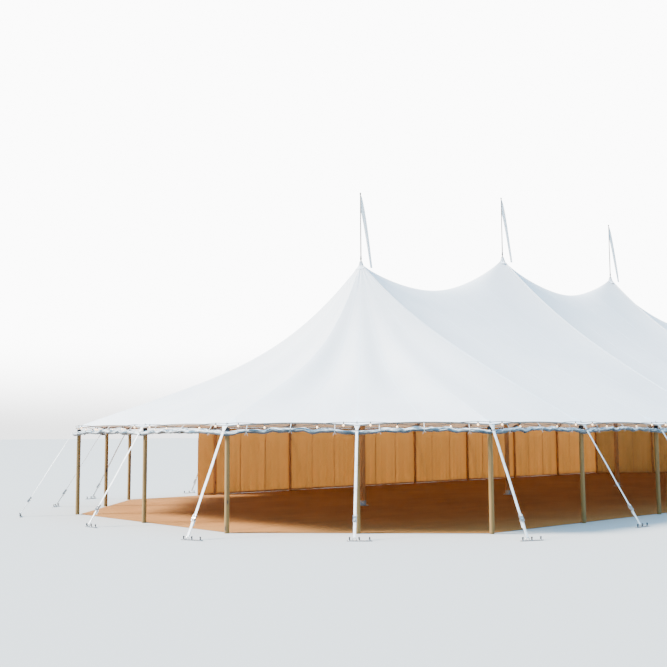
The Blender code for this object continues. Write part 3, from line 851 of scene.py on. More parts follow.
def end_points(side, places, shares):
    """Points of an end of the roof, from share 0 at its king pole to 1 at the eave.

    In plan a straight line runs from the king pole to the eave at each place, and height falls along it.
    The hollow is least under the pole creases and most between them. It evens out towards the peak, and
    eases to that of the side slopes at both sides of the fan.
    """
    king = 0 if side < 0 else -1
    into = places - FAN_STARTS[side]
    at_joint = np.abs(into - END_BAYS / 2) > END_BAYS / 2 - 1e-6
    edge = edge_plan(places) + (side * GAP / 2, 0.0) * at_joint[..., None]
    centre = np.array([KINGS[king] + side * GAP / 2, 0.0])
    away = edge - centre
    reach = np.linalg.norm(away, axis=-1)
    between = 0.5 + (np.sin(math.pi * fraction(places)) ** 2 - 0.5) * smooth(shares / CREASE_STARTS)
    hollow = CREASE_HOLLOW + (PANEL_HOLLOW - CREASE_HOLLOW) * between
    sides = np.clip(1 - into, 0, 1) + np.clip(into - END_BAYS + 1, 0, 1)
    hollow = hollow * (1 - sides) + SIDE_HOLLOW * sides
    plan = centre + away * ((HOLE_RADIUS + shares * (reach - HOLE_RADIUS)) / reach)[..., None]
    low = edge_height(places)
    height = low + (PEAKS[king] - low) * fall(shares, hollow) + relief(plan[..., 0], plan[..., 1], shares)
    return np.concatenate([plan, height[..., None]], -1)


def middle_points(places, shares):
    """Points of the roof between king poles, from share -1 at the near eave over 0 at the ridge to 1.

    The ridge is straight between two peaks, less RIDGE_SAG times a parabola. The share is softened to
    (hypot(s, d) - d) / (hypot(1, d) - d), which rounds the ridge by d between the poles.
    """
    x, reach = np.moveaxis(edge_plan(places), -1, 0)
    king = np.clip(((x - KINGS[0]) // KING_SPACING).astype(int), 0, len(KINGS) - 2)
    part = np.clip((x - KINGS[king]) / KING_SPACING, 0, 1)
    ridge = PEAKS[king] + (PEAKS[king + 1] - PEAKS[king]) * part - RIDGE_SAG * bow(part)
    rounding = RIDGE_ROUND * np.sin(math.pi * part) ** 2 + 1e-4
    soft = (np.hypot(shares, rounding) - rounding) / (np.hypot(1, rounding) - rounding)
    low = edge_height(places)
    y = shares * np.abs(reach)
    height = low + (ridge - low) * fall(soft, SIDE_HOLLOW) + relief(x + 0 * y, y, np.abs(shares))
    return np.stack([x + 0 * y, y, height], -1)


# Roof pieces

def declare_sheet(grid, flat=None, fullness=None):
    """Works out a cloth's flat cut from its grid, its longest row by its longest column, and its own area;
    nothing is done with them.

    A cut whose columns slant gives the rectangle it is cut from as flat. For a tapered cut, fullness is the
    area's share of its bounding rectangle, and gives the cut's width.
    """
    over, down = np.diff(grid, axis=1), np.diff(grid, axis=0)
    area = float(np.linalg.norm(np.cross(down[:, :-1], over[:-1]), axis=-1).sum())
    width = float(np.linalg.norm(over, axis=-1).sum(axis=1).max())
    length = float(np.linalg.norm(down, axis=-1).sum(axis=0).max())
    if fullness:
        width = area / (fullness * length)
    if flat is not None:
        width, length = (float(side) for side in flat)


def canvas(name, node, grid, top):
    """A stretched section of roof canvas, whose underside is painted dark warm brown as the shade under the
    roof.
    """
    cloth = sheet_part(top, CLOTH_THICK, grid_uv(top), 1)
    obj = make(name, [cloth], [SAILCLOTH, UNDERSIDE_PAINTED_SHADE], [node])
    declare_sheet(grid)


def end_canvas(name, node, side):
    """One continuous fan of canvas round an end king pole."""
    places = FAN_STARTS[side] + np.linspace(0, END_BAYS, END_BAYS * BAY_COLUMNS + 1)
    grid = end_points(side, *np.broadcast_arrays(places[None], SLOPE_SHARES[:, None]))
    canvas(name, node, grid, grid)


def middle_canvas(name, node, king):
    """One continuous sheet between two king poles, from the near eave over the ridge to the far eave.

    Its columns crowd towards the king poles as s - k sin(2 pi s) / (2 pi).
    """
    share = np.linspace(0, 1, MIDDLE_COLUMNS)
    crowded = share - COLUMN_CROWDING * np.sin(2 * math.pi * share) / (2 * math.pi)
    places = 1 + BAYS_PER_KING * (king + crowded)
    half = SLOPE_SHARES[1:]
    shares = np.concatenate([-half[::-1], [0.0], half])
    hole = math.sqrt(2) * HOLE_RADIUS
    grid = middle_points(*np.broadcast_arrays(places[None], shares[:, None]))
    for column, lean in ((0, 1), (-1, -1)):
        grid[:, column, 0] += lean * GAP / 2
        grid[:, column, 1] = np.sign(shares) * (hole + np.abs(shares) * (np.abs(grid[0, column, 1]) - hole))
        grid[len(half), column, 0] += lean * hole
    canvas(name, node, grid, grid[::-1])


def tape_along(line, ahead, width, lift, through=CLOTH_THICK, toward=UP):
    """A doubled sewn tape: width across a line of points, standing off both faces of the cloth by lift.

    ahead is the same line a little further round, which gives the tape's side. toward is the cloth's outside.
    """
    side = unit(ahead - line)
    up = unit(np.cross(unit(np.gradient(line, axis=0)), side))
    up = up * np.where(np.sum(up * toward, axis=1, keepdims=True) < 0, -1, 1)
    low, wide = -through - lift, width / 2
    return carried_part(line, side, up, [(-wide, low), (wide, low), (wide, lift), (-wide, lift)])


def seam_tape(surface, place, shares, *cloth):
    """A tape down one place of a surface."""
    line, ahead = (surface(np.full(len(shares), at), shares) for at in (place, place + SEAM_STEP))
    return tape_along(line, ahead, SEAM_WIDTH, TAPE_THICK, *cloth)


def seam_tapes():
    """Tapes over the panel seams: at each pole and half bay, from the peak or over the ridge to the eave."""
    parts = []
    for side in (-1, 1):
        for place in FAN_STARTS[side] + np.arange(0.5, END_BAYS, 0.5):
            parts.append(seam_tape(functools.partial(end_points, side), place, np.linspace(0.035, 0.995, 70)))
    for king in range(len(KINGS) - 1):
        for place in 1 + BAYS_PER_KING * king + np.arange(0.5, BAYS_PER_KING, 0.5):
            parts.append(seam_tape(middle_points, place, np.linspace(-0.995, 0.995, 141)))
    make("roof_seam_tapes", parts, [SEAM_TAPE_PAINTED_SHADE])


def joint_flaps():
    """The flap over each joint between two roof sections, from eave to eave beside a king pole."""
    parts = []
    for king, x in enumerate(KINGS):
        place = 1.0 + BAYS_PER_KING * king + (-1e-3 if king == len(KINGS) - 1 else 1e-3)
        for sign in (-1, 1):
            shares = sign * np.linspace(0.03, 0.998, 90)
            line = middle_points(np.full(90, place), shares)
            line[:, 0] = x
            parts.append(tape_along(line, line + (1.0, 0.0, 0.0), JOINT_WIDTH, 1.7 * TAPE_THICK))
    make("roof_joint_flaps", parts, [PATCH_CLOTH_PAINTED_SHADE])


def bolt_rope():
    """The rope sewn into the canvas edge: a ring of eight corners carried round the tent and closed."""
    rope = edge_path(np.arange(POLES * BAY_COLUMNS) / BAY_COLUMNS, out=0.0015, up=-0.003)
    outward, up = flat_frame(rope)
    around, along = np.linspace(0, ROPE_GIRTH, 9), metres_round(rope + ROPE_RADIUS * outward)
    part = carried_part(rope, outward, up, circle(ROPE_RADIUS, 8), 0, around, along, True)
    # Its dark brown finish is painted shade.
    make("eave_bolt_rope", [part], [BOLT_ROPE_PAINTED_SHADE])


def slope_points(places, insets):
    """Points of the roof at so many metres in from the eave, whichever section the place is in."""
    local = places % POLES
    west = (local >= FAN_STARTS[-1] - TINY) | (local < 1 - TINY)
    east = (local >= FAN_STARTS[1] - TINY) & (local < FAN_STARTS[1] + END_BAYS - TINY)
    edge = edge_plan(local)
    king = np.stack([np.where(west, KINGS[0], KINGS[-1]), 0 * local], -1)
    shares = 1 - insets / np.linalg.norm(edge - king, axis=-1)
    west_fan = end_points(-1, np.where(local < 1, local + POLES, local), shares)
    fan = np.where(west[..., None], west_fan, end_points(1, local, shares))
    half = np.maximum(np.abs(edge[..., 1]), 1e-6)
    mirrored = np.where(local > POLES / 2, POLES // 2 + STRAIGHT_POLES - 1 - local, local)
    middle = middle_points(mirrored, (1 - insets / half) * np.sign(edge[..., 1]))
    return np.where((west | east)[..., None], fan, middle)


def corner_patches():
    """A kite-shaped reinforcing patch at each side pole, wide at the eave and pointed up the slope.

    Across it a runs from -1 to 1 and up it b from 0 to 1, and its half width is PATCH_WIDTH (1 - b^1.4).
    """
    across, up = np.meshgrid(np.linspace(-1, 1, 13), np.linspace(0, 0.97, 15))
    parts = []
    for pole in range(POLES):
        places = pole + across * (1 - up**1.4) * PATCH_WIDTH / BAY
        grid = slope_points(places, 0.004 + up * PATCH_DEPTH)
        normal = normals_of(grid)
        normal = normal * np.where(normal[..., 2:] < 0, -1, 1)
        grid = (grid + normal * 1.1 * PATCH_THICK)[:, ::-1]
        parts.append(sheet_part(grid, PATCH_THICK, grid_uv(grid)))
    make("corner_patches", parts, [PATCH_CLOTH_PAINTED_SHADE])


def canvas_height(king, radius, turn):
    """Height of the roof at a distance from a king pole in any direction, on whichever section lies there."""
    x, y = radius * np.cos(turn), radius * np.sin(turn)
    last = 1 + BAYS_PER_KING * (len(KINGS) - 1)
    places = np.clip(1 + BAYS_PER_KING * king + x / BAY, 1, last - 1e-6)
    height = middle_points(places, y / np.abs(edge_plan(places)[..., 1]))[..., 2]
    if 0 < king < len(KINGS) - 1:
        return height
    side = -1 if king == 0 else 1
    fan = FAN_STARTS[side] + np.linspace(0, END_BAYS, 800)
    away = edge_plan(fan) - (KINGS[king], 0.0)
    bearing = np.unwrap(np.arctan2(away[:, 1], away[:, 0]))
    aim = bearing[0] + (turn - bearing[0]) % (2 * math.pi)
    reach = np.interp(aim, bearing, np.linalg.norm(away, axis=1))
    shares = np.clip((radius - HOLE_RADIUS) / (reach - HOLE_RADIUS), 0, 1)
    return np.where(x * side > 0, end_points(side, np.interp(aim, bearing, fan), shares)[..., 2], height)


def peak_caps():
    """A gathered cap over each peak: a steep neck that opens into a skirt lying on the canvas.

    Its radius is a neck CAP_RADIUS(1 + 0.75 s) up to the shoulder and then the skirt's own slope, times folds
    1 + d cos(n a) whose depth d is greatest at the neck. s runs from 0 at the top to 1 at the foot.
    """
    parts = []
    turn = turns(CAP_COLUMNS)
    share = np.linspace(0, 1, 40)[:, None]
    neck = np.clip(share / CAP_SHOULDER, 0, 1)
    skirt = np.clip((share - CAP_SHOULDER) / (1 - CAP_SHOULDER), 0, 1)
    flare = CAP_RADIUS * (1 + 0.75 * neck**1.5 + 2.3 * skirt**1.25)
    depth = 0.20 * (0.35 + 0.65 * neck) * (1 - skirt) ** 1.3 + 0.015
    tied = 1 - 0.12 * bell(share - 0.07, 0.03)
    for number, (king, peak) in enumerate(zip(KINGS, PEAKS)):
        wander = turn + 0.10 * np.sin(2 * turn + king) + 0.05 * np.sin(5 * turn + 2 * king)
        fold = 1 + depth * (np.cos(CAP_FOLDS * wander) + 0.35 * np.cos(2 * CAP_FOLDS * wander + 1.0))
        radius = flare * fold * tied
        height = peak + CAP_RISE - (CAP_RISE + CAP_FALL) * neck**1.1 - (CAP_DROP - CAP_FALL) * skirt
        lying = canvas_height(number, radius, turn + 0 * radius) + 0.010
        height = np.maximum(height, lying) * skirt**0.5 + height * (1 - skirt**0.5)
        outer = np.stack([king + radius * np.cos(turn), radius * np.sin(turn), height], -1)
        inner = outer - np.column_stack([circle(0.004, CAP_COLUMNS), np.full(CAP_COLUMNS, 0.006)])
        skin = np.concatenate([outer, inner[::-1]])
        rows = metres_along(skin[:, 0])
        around, along = np.linspace(0, CAP_GIRTH, CAP_COLUMNS + 1), np.append(rows, rows[-1] + 0.004)
        parts.append(closed_part(skin, around, along, loop=True))
        tie_centre = (king, 0.0, peak + CAP_RISE - 0.016)
        ring = np.column_stack([circle(CAP_RADIUS * 0.97, 40), np.zeros(40)]) + tie_centre
        parts.append(loop_part(ring, circle(0.0045, 8), UP, 1))
    make("peak_caps", parts, [CAP_CLOTH, RUBBER], sharp=70)


def corner_pins():
    """The tip of each pole pin above the canvas, with its flat washer."""
    rim = [(0.024, 0.000), (0.026, 0.001), (0.026, 0.003), (0.0245, 0.004), (0.009, 0.0045)]
    washer = turned_part(rim, 20)
    pin = turned_part([(0.008, -0.01), (0.008, 0.030), (0.0065, 0.040), (0.003, 0.046)], 12)
    parts = []
    for pole in range(POLES):
        near = slope_points(pole + np.array([-0.01, 0.0, 0.01]), np.full(3, EDGE_REACH))
        inner = slope_points(np.array([float(pole)]), np.array([EDGE_REACH + 0.03]))[0]
        side = unit(near[2] - near[0])
        up = unit(np.cross(side, near[1] - inner))
        up = up if up[2] > 0 else -up
        spot = near[1] + up * 0.004
        parts += [placed(washer, spot, (side, np.cross(up, side), up)), placed(pin, spot)]
    make("corner_pins", parts, [STEEL])


# Side poles and king poles

def side_poles():
    """Peeled poles, each with a worn foot, an iron ferrule and the pin that takes the canvas.

    Those beside the walls let down take a paler copy of the timber: painted light, for the glow of the walls
    on them.
    """
    parts = []
    for pole, (centre, top) in enumerate(zip(POLE_LINE, POLE_TOPS)):
        shoulder = top - 0.060
        body = [(0.90, 0.0), (0.965, 0.008)]
        body += [(0.975 - 0.035 * z / shoulder, z) for z in np.linspace(0.03, shoulder - 0.015, 26)]
        body += [(0.91, shoulder - 0.004), (0.84, shoulder)]
        gets_painted_light = WALL_START <= pole <= WALL_END
        body = np.array(body) * (POLE_RADIUS, 1.0)
        parts.append(turned_part(body, 32, centre, 2 if gets_painted_light else 0, 1.7 * pole))
        band = POLE_RADIUS * 0.965
        iron = [(band - 0.003, shoulder - 0.078), (band, shoulder - 0.075), (band, shoulder - 0.006),
                (band - 0.006, shoulder + 0.002), (0.010, shoulder + 0.004), (0.008, shoulder + 0.008),
                (0.008, top - 0.004), (0.005, top)]
        parts.append(turned_part(iron, 28, centre, 1))
    make("side_poles", parts, [TIMBER, DARK_IRON, PAINTED_LIGHTER_TIMBER], SIDE_POLES)


def king_poles():
    """The king poles: a steel foot, a mast tapered to its spigot, an iron ferrule, the staff and its finial.

    Each profile is (radius, height) above the foot, the peak or the staff's tip.
    """
    foot = [(0.138, 0.0), (0.150, 0.003), (0.150, 0.012), (0.143, 0.016), (0.082, 0.018), (0.080, 0.13),
            (0.076, 0.135)]
    neck = [(0.062, -0.245), (0.045, -0.18), (0.030, -0.125), (0.029, -0.06)]
    collar = [(0.067, -0.345), (0.0705, -0.342), (0.0705, -0.262), (0.066, -0.255)]
    spigot = [(0.026, -0.07), (0.028, -0.05), (0.028, 0.075), (0.022, 0.086), (0.019, 0.100), (0.019, 0.128),
              (0.025, 0.138), (0.028, 0.152), (0.025, 0.168), (0.0225, 0.178), (0.022, 0.225), (0.019, 0.230)]
    staff = [(0.0150, 0.195), (0.0185, 0.21), (0.0185, 0.6), (0.0170, 1.2), (0.0140, STAFF_HEIGHT - 0.061),
             (0.0120, STAFF_HEIGHT - 0.058)]
    finial = [(0.013, -0.066), (0.018, -0.060), (0.0235, -0.044), (0.024, -0.034), (0.0215, -0.020),
              (0.014, -0.008), (0.006, 0.0)]
    for king, (x, peak, name) in enumerate(zip(KINGS, PEAKS, KING_POLES)):
        low = corners_of(name)[0, 2]
        rise = np.linspace(low + 0.02, peak - 0.26, 60)
        taper = np.column_stack([0.0700 - 0.004 * (rise - low) / peak, rise])
        mast = np.concatenate([taper, neck + np.array([0, peak])])
        parts = []
        for profile, base, sides, finish, seed in (
            (foot, low, 40, 1, None),
            (mast, 0.0, 40, 0, 2.3 * king),
            (collar, peak, 40, 1, None),
            (spigot, peak, 32, 2, None),
            (staff, peak, 20, 3, None),
            (finial, peak + STAFF_HEIGHT, 24, 2, None),
        ):
            parts.append(turned_part(profile + np.array([0, base]), sides, (x, 0.0), finish, seed))
        # The mast takes the paler timber: painted light.
        make(f"king_mast_{king + 1}", parts, [PAINTED_LIGHTER_TIMBER, STEEL, DARK_IRON, STAFF_PAINT], [name])


# Pennants

def pennants():
    """A limp tapering pennant beside each staff.

    With t down its length and s across it, it lies between an inner edge, which leaves the staff below the
    hoist, and an outer edge that swings out as t^0.7. Folds sin(n s + w t) stand off that plane and fade at
    the hoist.
    """
    along = unit(np.array([*PENNANT_SIDE, 0.0]))
    across = np.array([-along[1], along[0], 0.0])
    t, s = np.meshgrid(np.linspace(0, 1, 120), np.linspace(0, 1, 29), indexing="ij")
    start = STAFF_RADIUS + GAP
    outer_out = start + PENNANT_SWING * t**0.7
    inner_out = start + (PENNANT_SWING - PENNANT_TAIL) * t**0.9
    out = inner_out + (outer_out - inner_out) * s
    lash = circle(0.017, 15)
    for king, (x, peak) in enumerate(zip(KINGS, PEAKS)):
        top, low = peak + STAFF_HEIGHT - PENNANT_BELOW_TIP, peak + PENNANT_LOW
        inner_top = top - PENNANT_HOIST * 1.1
        outer_up, inner_up = top + (low - top) * t, inner_top + (low - inner_top) * t
        phase = 1.9 * king
        depth = 0.012 * np.minimum(1, 5 * t * (0.3 + s)) * (1 - 0.55 * t)
        fold = depth * np.sin(2 * math.pi * (1.2 * s + 0.35 * np.sin(3.1 * t + phase)) + phase)
        fold = fold + 0.012 * np.sin(7.0 * t + 2.2 * s + phase) * t
        grid = np.array([x, 0.0, 0.0]) + out[..., None] * along + fold[..., None] * across
        grid[..., 2] = inner_up + (outer_up - inner_up) * s
        parts = [sheet_part(grid, 0.0016, grid_uv(grid))]
        parts += [tube_part(edge, 0.0028, 6, across) for edge in (grid[:, 0], grid[:, -1])]
        for height in (top - 0.02, top - PENNANT_HOIST / 2, inner_top + 0.02):
            ring = np.array([x, 0.0, height]) + (lash[:, :1] * along + lash[:, 1:] * across)
            parts.append(loop_part(ring, circle(0.0028, 6), UP))
        obj = make(f"pennant_cloth_{king + 1}", parts, [PENNANT], [f"pennant_{king + 1}"])
        declare_sheet(grid, fullness=PENNANT_FULLNESS)


# Guys

def eave_webbing():
    """The webbing sewn round the whole eave: a flat band carried round the canvas edge and closed."""
    middle = edge_path(np.arange(POLES * BAY_COLUMNS) / BAY_COLUMNS)
    outward, up = (axis[2:-2] for axis in flat_frame(np.concatenate([middle[-2:], middle, middle[:2]])))
    profile = rounded(WEB_THICK, WEB_DEPTH, 0.002) + (GAP + WEB_THICK / 2, 0.002 - WEB_DEPTH / 2)
    along = np.linspace(0, POLES * BAY, len(middle) + 1)
    part = carried_part(middle, outward, up, profile, along=along, loop=True)
    # The webbing's brown finish is painted shade.
    make("eave_webbing", [part], [EAVE_WEBBING_PAINTED_SHADE], named("guys"))


def guy_axes(pole):
    """Top of a guy, its length to the anchor, and its axes: along the eave, down the strap and off it."""
    out = np.append(OUTWARD[pole], 0.0)
    side = np.array([-out[1], out[0], 0.0])
    top = np.append(EDGE_CORNERS[pole] + OUTWARD[pole] * (GAP + WEB_SPACE), EAVE - GUY_DROP)
    foot = np.append(POLE_LINE[pole] + OUTWARD[pole] * GUY_REACH, ANCHOR_HEIGHT + STRAP_FOOT)
    ahead = unit(foot - top)
    lift = np.cross(side, ahead)
    return top, np.linalg.norm(foot - top), (side, ahead, lift if lift[2] > 0 else -lift)


def strap_run(
    pole, start, stop, count, off=0.0, turn=0.0, ripple=0.0, sway=0.0, width=STRAP_WIDTH, thick=STRAP_THICK
):
    """A stretch of strap from start to stop down a guy, standing off it by off.

    At share s it twists by turn sin(pi s), ripples by sin(2 pi (2s + 0.3 pole)) sin(pi s) and sways by s.
    """
    top, _, (side, ahead, lift) = guy_axes(pole)
    share = np.linspace(0, 1, count)[:, None]
    lean = turn * np.sin(math.pi * share)
    across = side * np.cos(lean) + lift * np.sin(lean)
    away = lift * np.cos(lean) - side * np.sin(lean)
    shift = off + ripple * np.sin(2 * math.pi * (2.0 * share + 0.3 * pole)) * np.sin(math.pi * share)
    path = top + (start + (stop - start) * share) * ahead + lift * shift + side * (sway * share)
    return band_part(path, across, away, width, thick)


def lower_loop(pole, bolt):
    """The doubled strap below a ratchet: a band round its bolt and the anchor ring, drawn in between."""
    top, foot, (side, ahead, lift) = guy_axes(pole)
    turn = np.linspace(-math.pi / 2, math.pi / 2, 7)
    share = np.linspace(0, 1, 12)[1:-1]
    near, far = 0.0085, 0.0075
    between = near + (far - near) * share - 0.0035 * np.sin(math.pi * share) ** 0.5
    down, up = foot - (foot - bolt) * share, bolt + (foot - bolt) * share
    y = np.concatenate([foot + far * np.cos(turn), down, bolt - near * np.cos(turn), up])[:, None]
    z = np.concatenate([far * np.sin(turn), between[::-1], -near * np.sin(turn), -between])[:, None]
    return loop_part(top + y * ahead + z * lift, rounded(STRAP_THICK, STRAP_WIDTH, 0.0012), side)


def guy_straps():
    """The straps: a sewn tab from the corner, a loop on its ring, the long strap and its loose tail."""
    parts = []
    tab_width = 0.052 + 0.075 * (1 - np.linspace(0, 1, 14)) ** 1.6
    for pole in range(POLES):
        ratchet_end = guy_axes(pole)[1] - RATCHET_ABOVE_FOOT
        wound = ratchet_end - RATCHET_LENGTH + 0.05
        parts.append(strap_run(pole, -0.016, TAB_DEPTH, 14, 0.001, width=tab_width, thick=0.005))
        parts.append(strap_run(pole, TAB_DEPTH + 0.024, TAB_DEPTH + 0.17, 12, -0.0042))
        twist = RANDOM.normal(0.0, 0.16)
        parts.append(strap_run(pole, TAB_DEPTH + 0.022, wound, 44, 0.0, twist, 0.003))
        tail = RANDOM.uniform(0.16, 0.24)
        twist, sway = RANDOM.normal(0.0, 0.2), RANDOM.normal(0.0, 0.012)
        tail_width = STRAP_WIDTH * 0.96
        parts.append(strap_run(pole, wound + 0.01, wound + tail, 18, -0.024, twist, 0.006, sway, tail_width))
        parts.append(lower_loop(pole, ratchet_end - 0.035))
    make("guy_straps", parts, [WEBBING])


def guy_rings():
    """The steel ring between each corner tab and its strap: a straight bar closed by a flattened arc."""
    turn = np.linspace(0, math.pi, 13)
    x = np.concatenate([0.031 * np.cos(turn), np.linspace(-0.031, 0.031, 6)[1:-1]])[:, None]
    y = np.concatenate([0.024 * np.sin(turn), np.zeros(4)])[:, None]
    parts = []
    for pole in range(POLES):
        top, _, (side, ahead, lift) = guy_axes(pole)
        parts.append(loop_part(top + (TAB_DEPTH + y) * ahead + x * side, circle(0.0038, 8), lift))
    make("guy_rings", parts, [STEEL])


def ratchet():
    """One ratchet about its top end, with X across the strap, Y down it and Z off it.

    It has side plates, a leaning handle, toothed wheels, bars with bolt heads, a pawl, its spring and the
    wound strap.
    """
    lean = math.radians(9)
    leaning = ((0, math.cos(lean), math.sin(lean)), (0, -math.sin(lean), math.cos(lean)), (1, 0, 0))
    turn = turns(44)
    tooth = 0.0178 + 0.0030 * ((turn * 11 / (2 * math.pi)) % 1.0)
    wheel = slab_part(np.column_stack([tooth * np.cos(turn), tooth * np.sin(turn)]), 0.004)
    parts = []
    for side in (-1, 1):
        parts.append(placed(slab_part(capsule(0.150, 0.034), 0.003), (side * 0.0285, 0.100, 0.0), ALONG_X))
        parts.append(placed(slab_part(capsule(0.130, 0.022), 0.0025), (side * 0.0325, 0.108, 0.010), leaning))
        parts.append(placed(wheel, (side * 0.0345, 0.060, 0.0), ALONG_X))
    bar = np.array([(0.0045, -0.037), (0.006, -0.036), (0.006, 0.036), (0.0045, 0.037)])
    for thicker, y, z in ((0.0, 0.165, 0.0), (0.0, 0.060, 0.0), (0.002, 0.166, 0.020)):
        parts.append(placed(turned_part(bar + (thicker, 0.0), 12), (0, y, z), ALONG_X))
    head = np.array([(0.007, -0.041), (0.0095, -0.040), (0.0095, -0.034), (0.006, -0.034)])
    for side in (1, -1):
        parts.append(placed(turned_part(head * (1, side), 6), (0, 0.165, 0.0), ALONG_X))
    parts.append(placed(slab_part(rounded(0.046, 0.030, 0.005), 0.0028), (0, 0.112, 0.012)))
    sprung = ((1, 0, 0), (0, 0.98, 0.2), (0, -0.2, 0.98))
    parts.append(placed(slab_part(rounded(0.026, 0.040, 0.004), 0.0022), (0, 0.122, 0.0165), sprung))
    u = np.linspace(0, 1, 9)
    wound = 0.0165 + 0.0012 * np.sin(math.pi * u) + 0.0005 * np.cos(8 * math.pi * u)
    parts.append(placed(turned_part(np.column_stack([wound, -0.0255 + 0.051 * u]), 20, finish=1),
                        (0, 0.060, 0.0), ALONG_X))
    return parts


def ratchets():
    """A ratchet on every guy."""
    group = ratchet()
    parts = []
    for pole in range(POLES):
        top, length, axes = guy_axes(pole)
        start = top + (length - RATCHET_ABOVE_FOOT - RATCHET_LENGTH) * axes[1]
        parts += [placed(part, start, axes) for part in group]
    make("guy_ratchets", parts, [STEEL, WEBBING])


def anchors():
    """An anchor plate at the foot of each guy, its upright staple and the heads of its three stakes."""
    plates, stakes = [], []
    left, right = STAKE_PLACES[0] - ANCHOR_MARGIN, STAKE_PLACES[-1] + ANCHOR_MARGIN
    plate = slab_part(rounded(right - left, ANCHOR_DEPTH, 0.012, 5), ANCHOR_HEIGHT)
    turn = np.linspace(0, math.pi, 11)
    arch = np.column_stack([0.033 * np.cos(turn), 0.012 * (1 - np.sin(turn)), 0.036 + 0.026 * np.sin(turn)])
    legs = np.array([[0.033, 0.014, 0.004], [0.033, 0.013, 0.020]])
    staple = tube_part(np.concatenate([legs, arch, legs[::-1] * (-1, 1, 1)]), 0.0055, 8, (0.0, 1.0, 0.0))
    stake = turned_part([(0.0125, 0.003), (0.0125, 0.050), (0.0158, 0.054), (0.0162, 0.062), (0.0155, 0.070),
                         (0.0120, 0.0748), (0.004, 0.0755)], 12)
    rim = [(0.019, -0.001), (0.020, 0.002), (0.019, 0.004), (0.013, 0.005)]
    collar = turned_part(rim + np.array([0, ANCHOR_HEIGHT]), 14)
    for pole in range(POLES):
        out = np.append(OUTWARD[pole], 0.0)
        side = np.array([-out[1], out[0], 0.0])
        axes = (side, out, UP)
        centre = np.append(POLE_LINE[pole], 0.0) + out * GUY_REACH
        middle = centre + side * (left + right) / 2 + (0, 0, ANCHOR_HEIGHT / 2)
        plates += [placed(plate, middle, axes), placed(staple, centre, axes)]
        for place in STAKE_PLACES:
            lean = RANDOM.normal(0.0, 0.05, 2)
            up = unit(np.array(UP) + out * (0.08 + lean[0]) + side * lean[1])
            across = unit(np.cross(out, up))
            spot = centre + side * place
            stakes.append(placed(stake, spot, (across, np.cross(up, across), up)))
            plates.append(placed(collar, spot, axes))
    make("anchor_plates", plates, [STEEL])
    make("anchor_stakes", stakes, [DARK_IRON])


# Rolled walls

def beside_poles(places, out):
    """Plan points so far outside the line of poles. Mitred vectors keep the distance even at corners."""
    return on_line(POLE_LINE, places) + on_line(MITRES, places) * np.asarray(out)[..., None]


def from_pole(places):
    """Distance from each place to the nearest side pole, along the eave."""
    return np.minimum(fraction(places), 1 - fraction(places)) * BAY


def roll_centre(places):
    """The middle of a rolled wall: it follows the eave's arc, sags between its ties and wavers a little."""
    share, along = fraction(places), places * BAY
    slack = np.cos(TIES_PER_BAY * math.pi * share) ** 2
    waver = 0.015 * np.sin(9.7 * along + 1.0) + 0.010 * np.sin(17.3 * along)
    waver = waver * (1 - bell(from_pole(places), 0.30))
    height = ROLL_LOW + ROLL_RISE * bow(share) - 0.012 * slack + waver * (0.35 + 0.65 * slack)
    return np.column_stack([beside_poles(places, ROLL_OUT), height])


def tie_closeness(places):
    """1 at each tie, falling to 0 within a hand's width."""
    apart = np.abs((fraction(places) * TIES_PER_BAY) % 1.0 - 0.5) * BAY / TIES_PER_BAY
    return bell(apart, 0.055)


def roll_radius(places, turn):
    """Radius of the rolled wall by place and turn: folds cos(n a + w) that wander along it, drawn in at ties.

    In stretches the cloth is wrung, with creases that wind round it as sin(k z - 2a). Beside a side pole its
    inner face is pressed flat against the pole.
    """
    along = places[:, None] * BAY
    pinch = tie_closeness(places)[:, None]
    wander = 1.3 * np.sin(1.3 * along) + 0.9 * np.sin(3.1 * along + 1.0) + 0.5 * np.sin(7.3 * along)
    folds = 0.12 * np.cos(2 * turn + wander) + 0.09 * np.cos(3 * turn - 1.4 * wander + 0.9 * along)
    folds = folds + 0.080 * np.cos(6 * turn + 2.0 * wander + 2.2 * along)
    folds = folds + 0.060 * np.cos(11 * turn - 1.6 * wander)
    wrung = np.clip(0.5 + 0.9 * np.sin(0.83 * along + 0.6), 0, 1)
    crumple = 0.060 * wrung * np.sin(2 * math.pi * along / 0.15 - 2 * turn + wander)
    crumple = crumple + 0.035 * np.sin(17 * along + 3 * turn + wander)
    crumple = crumple + 0.025 * np.sin(29 * along - 5 * turn + 1.0)
    gather = 0.09 * pinch * np.cos(12 * turn + 3 * along)
    swell = 0.86 + 0.06 * np.sin(2.1 * along + 0.5) * (1 - pinch)
    radius = ROLL_RADIUS * (swell + folds * (1 - 0.5 * pinch) + crumple + gather) * (1 - 0.25 * pinch)
    pressed = bell(from_pole(places), 0.16)[:, None]
    limit = (ROLL_RADIUS - 0.001) / np.maximum(-np.cos(turn), 0.25)
    return radius + (np.minimum(radius, limit) - radius) * np.minimum(1, 1.6 * pressed)


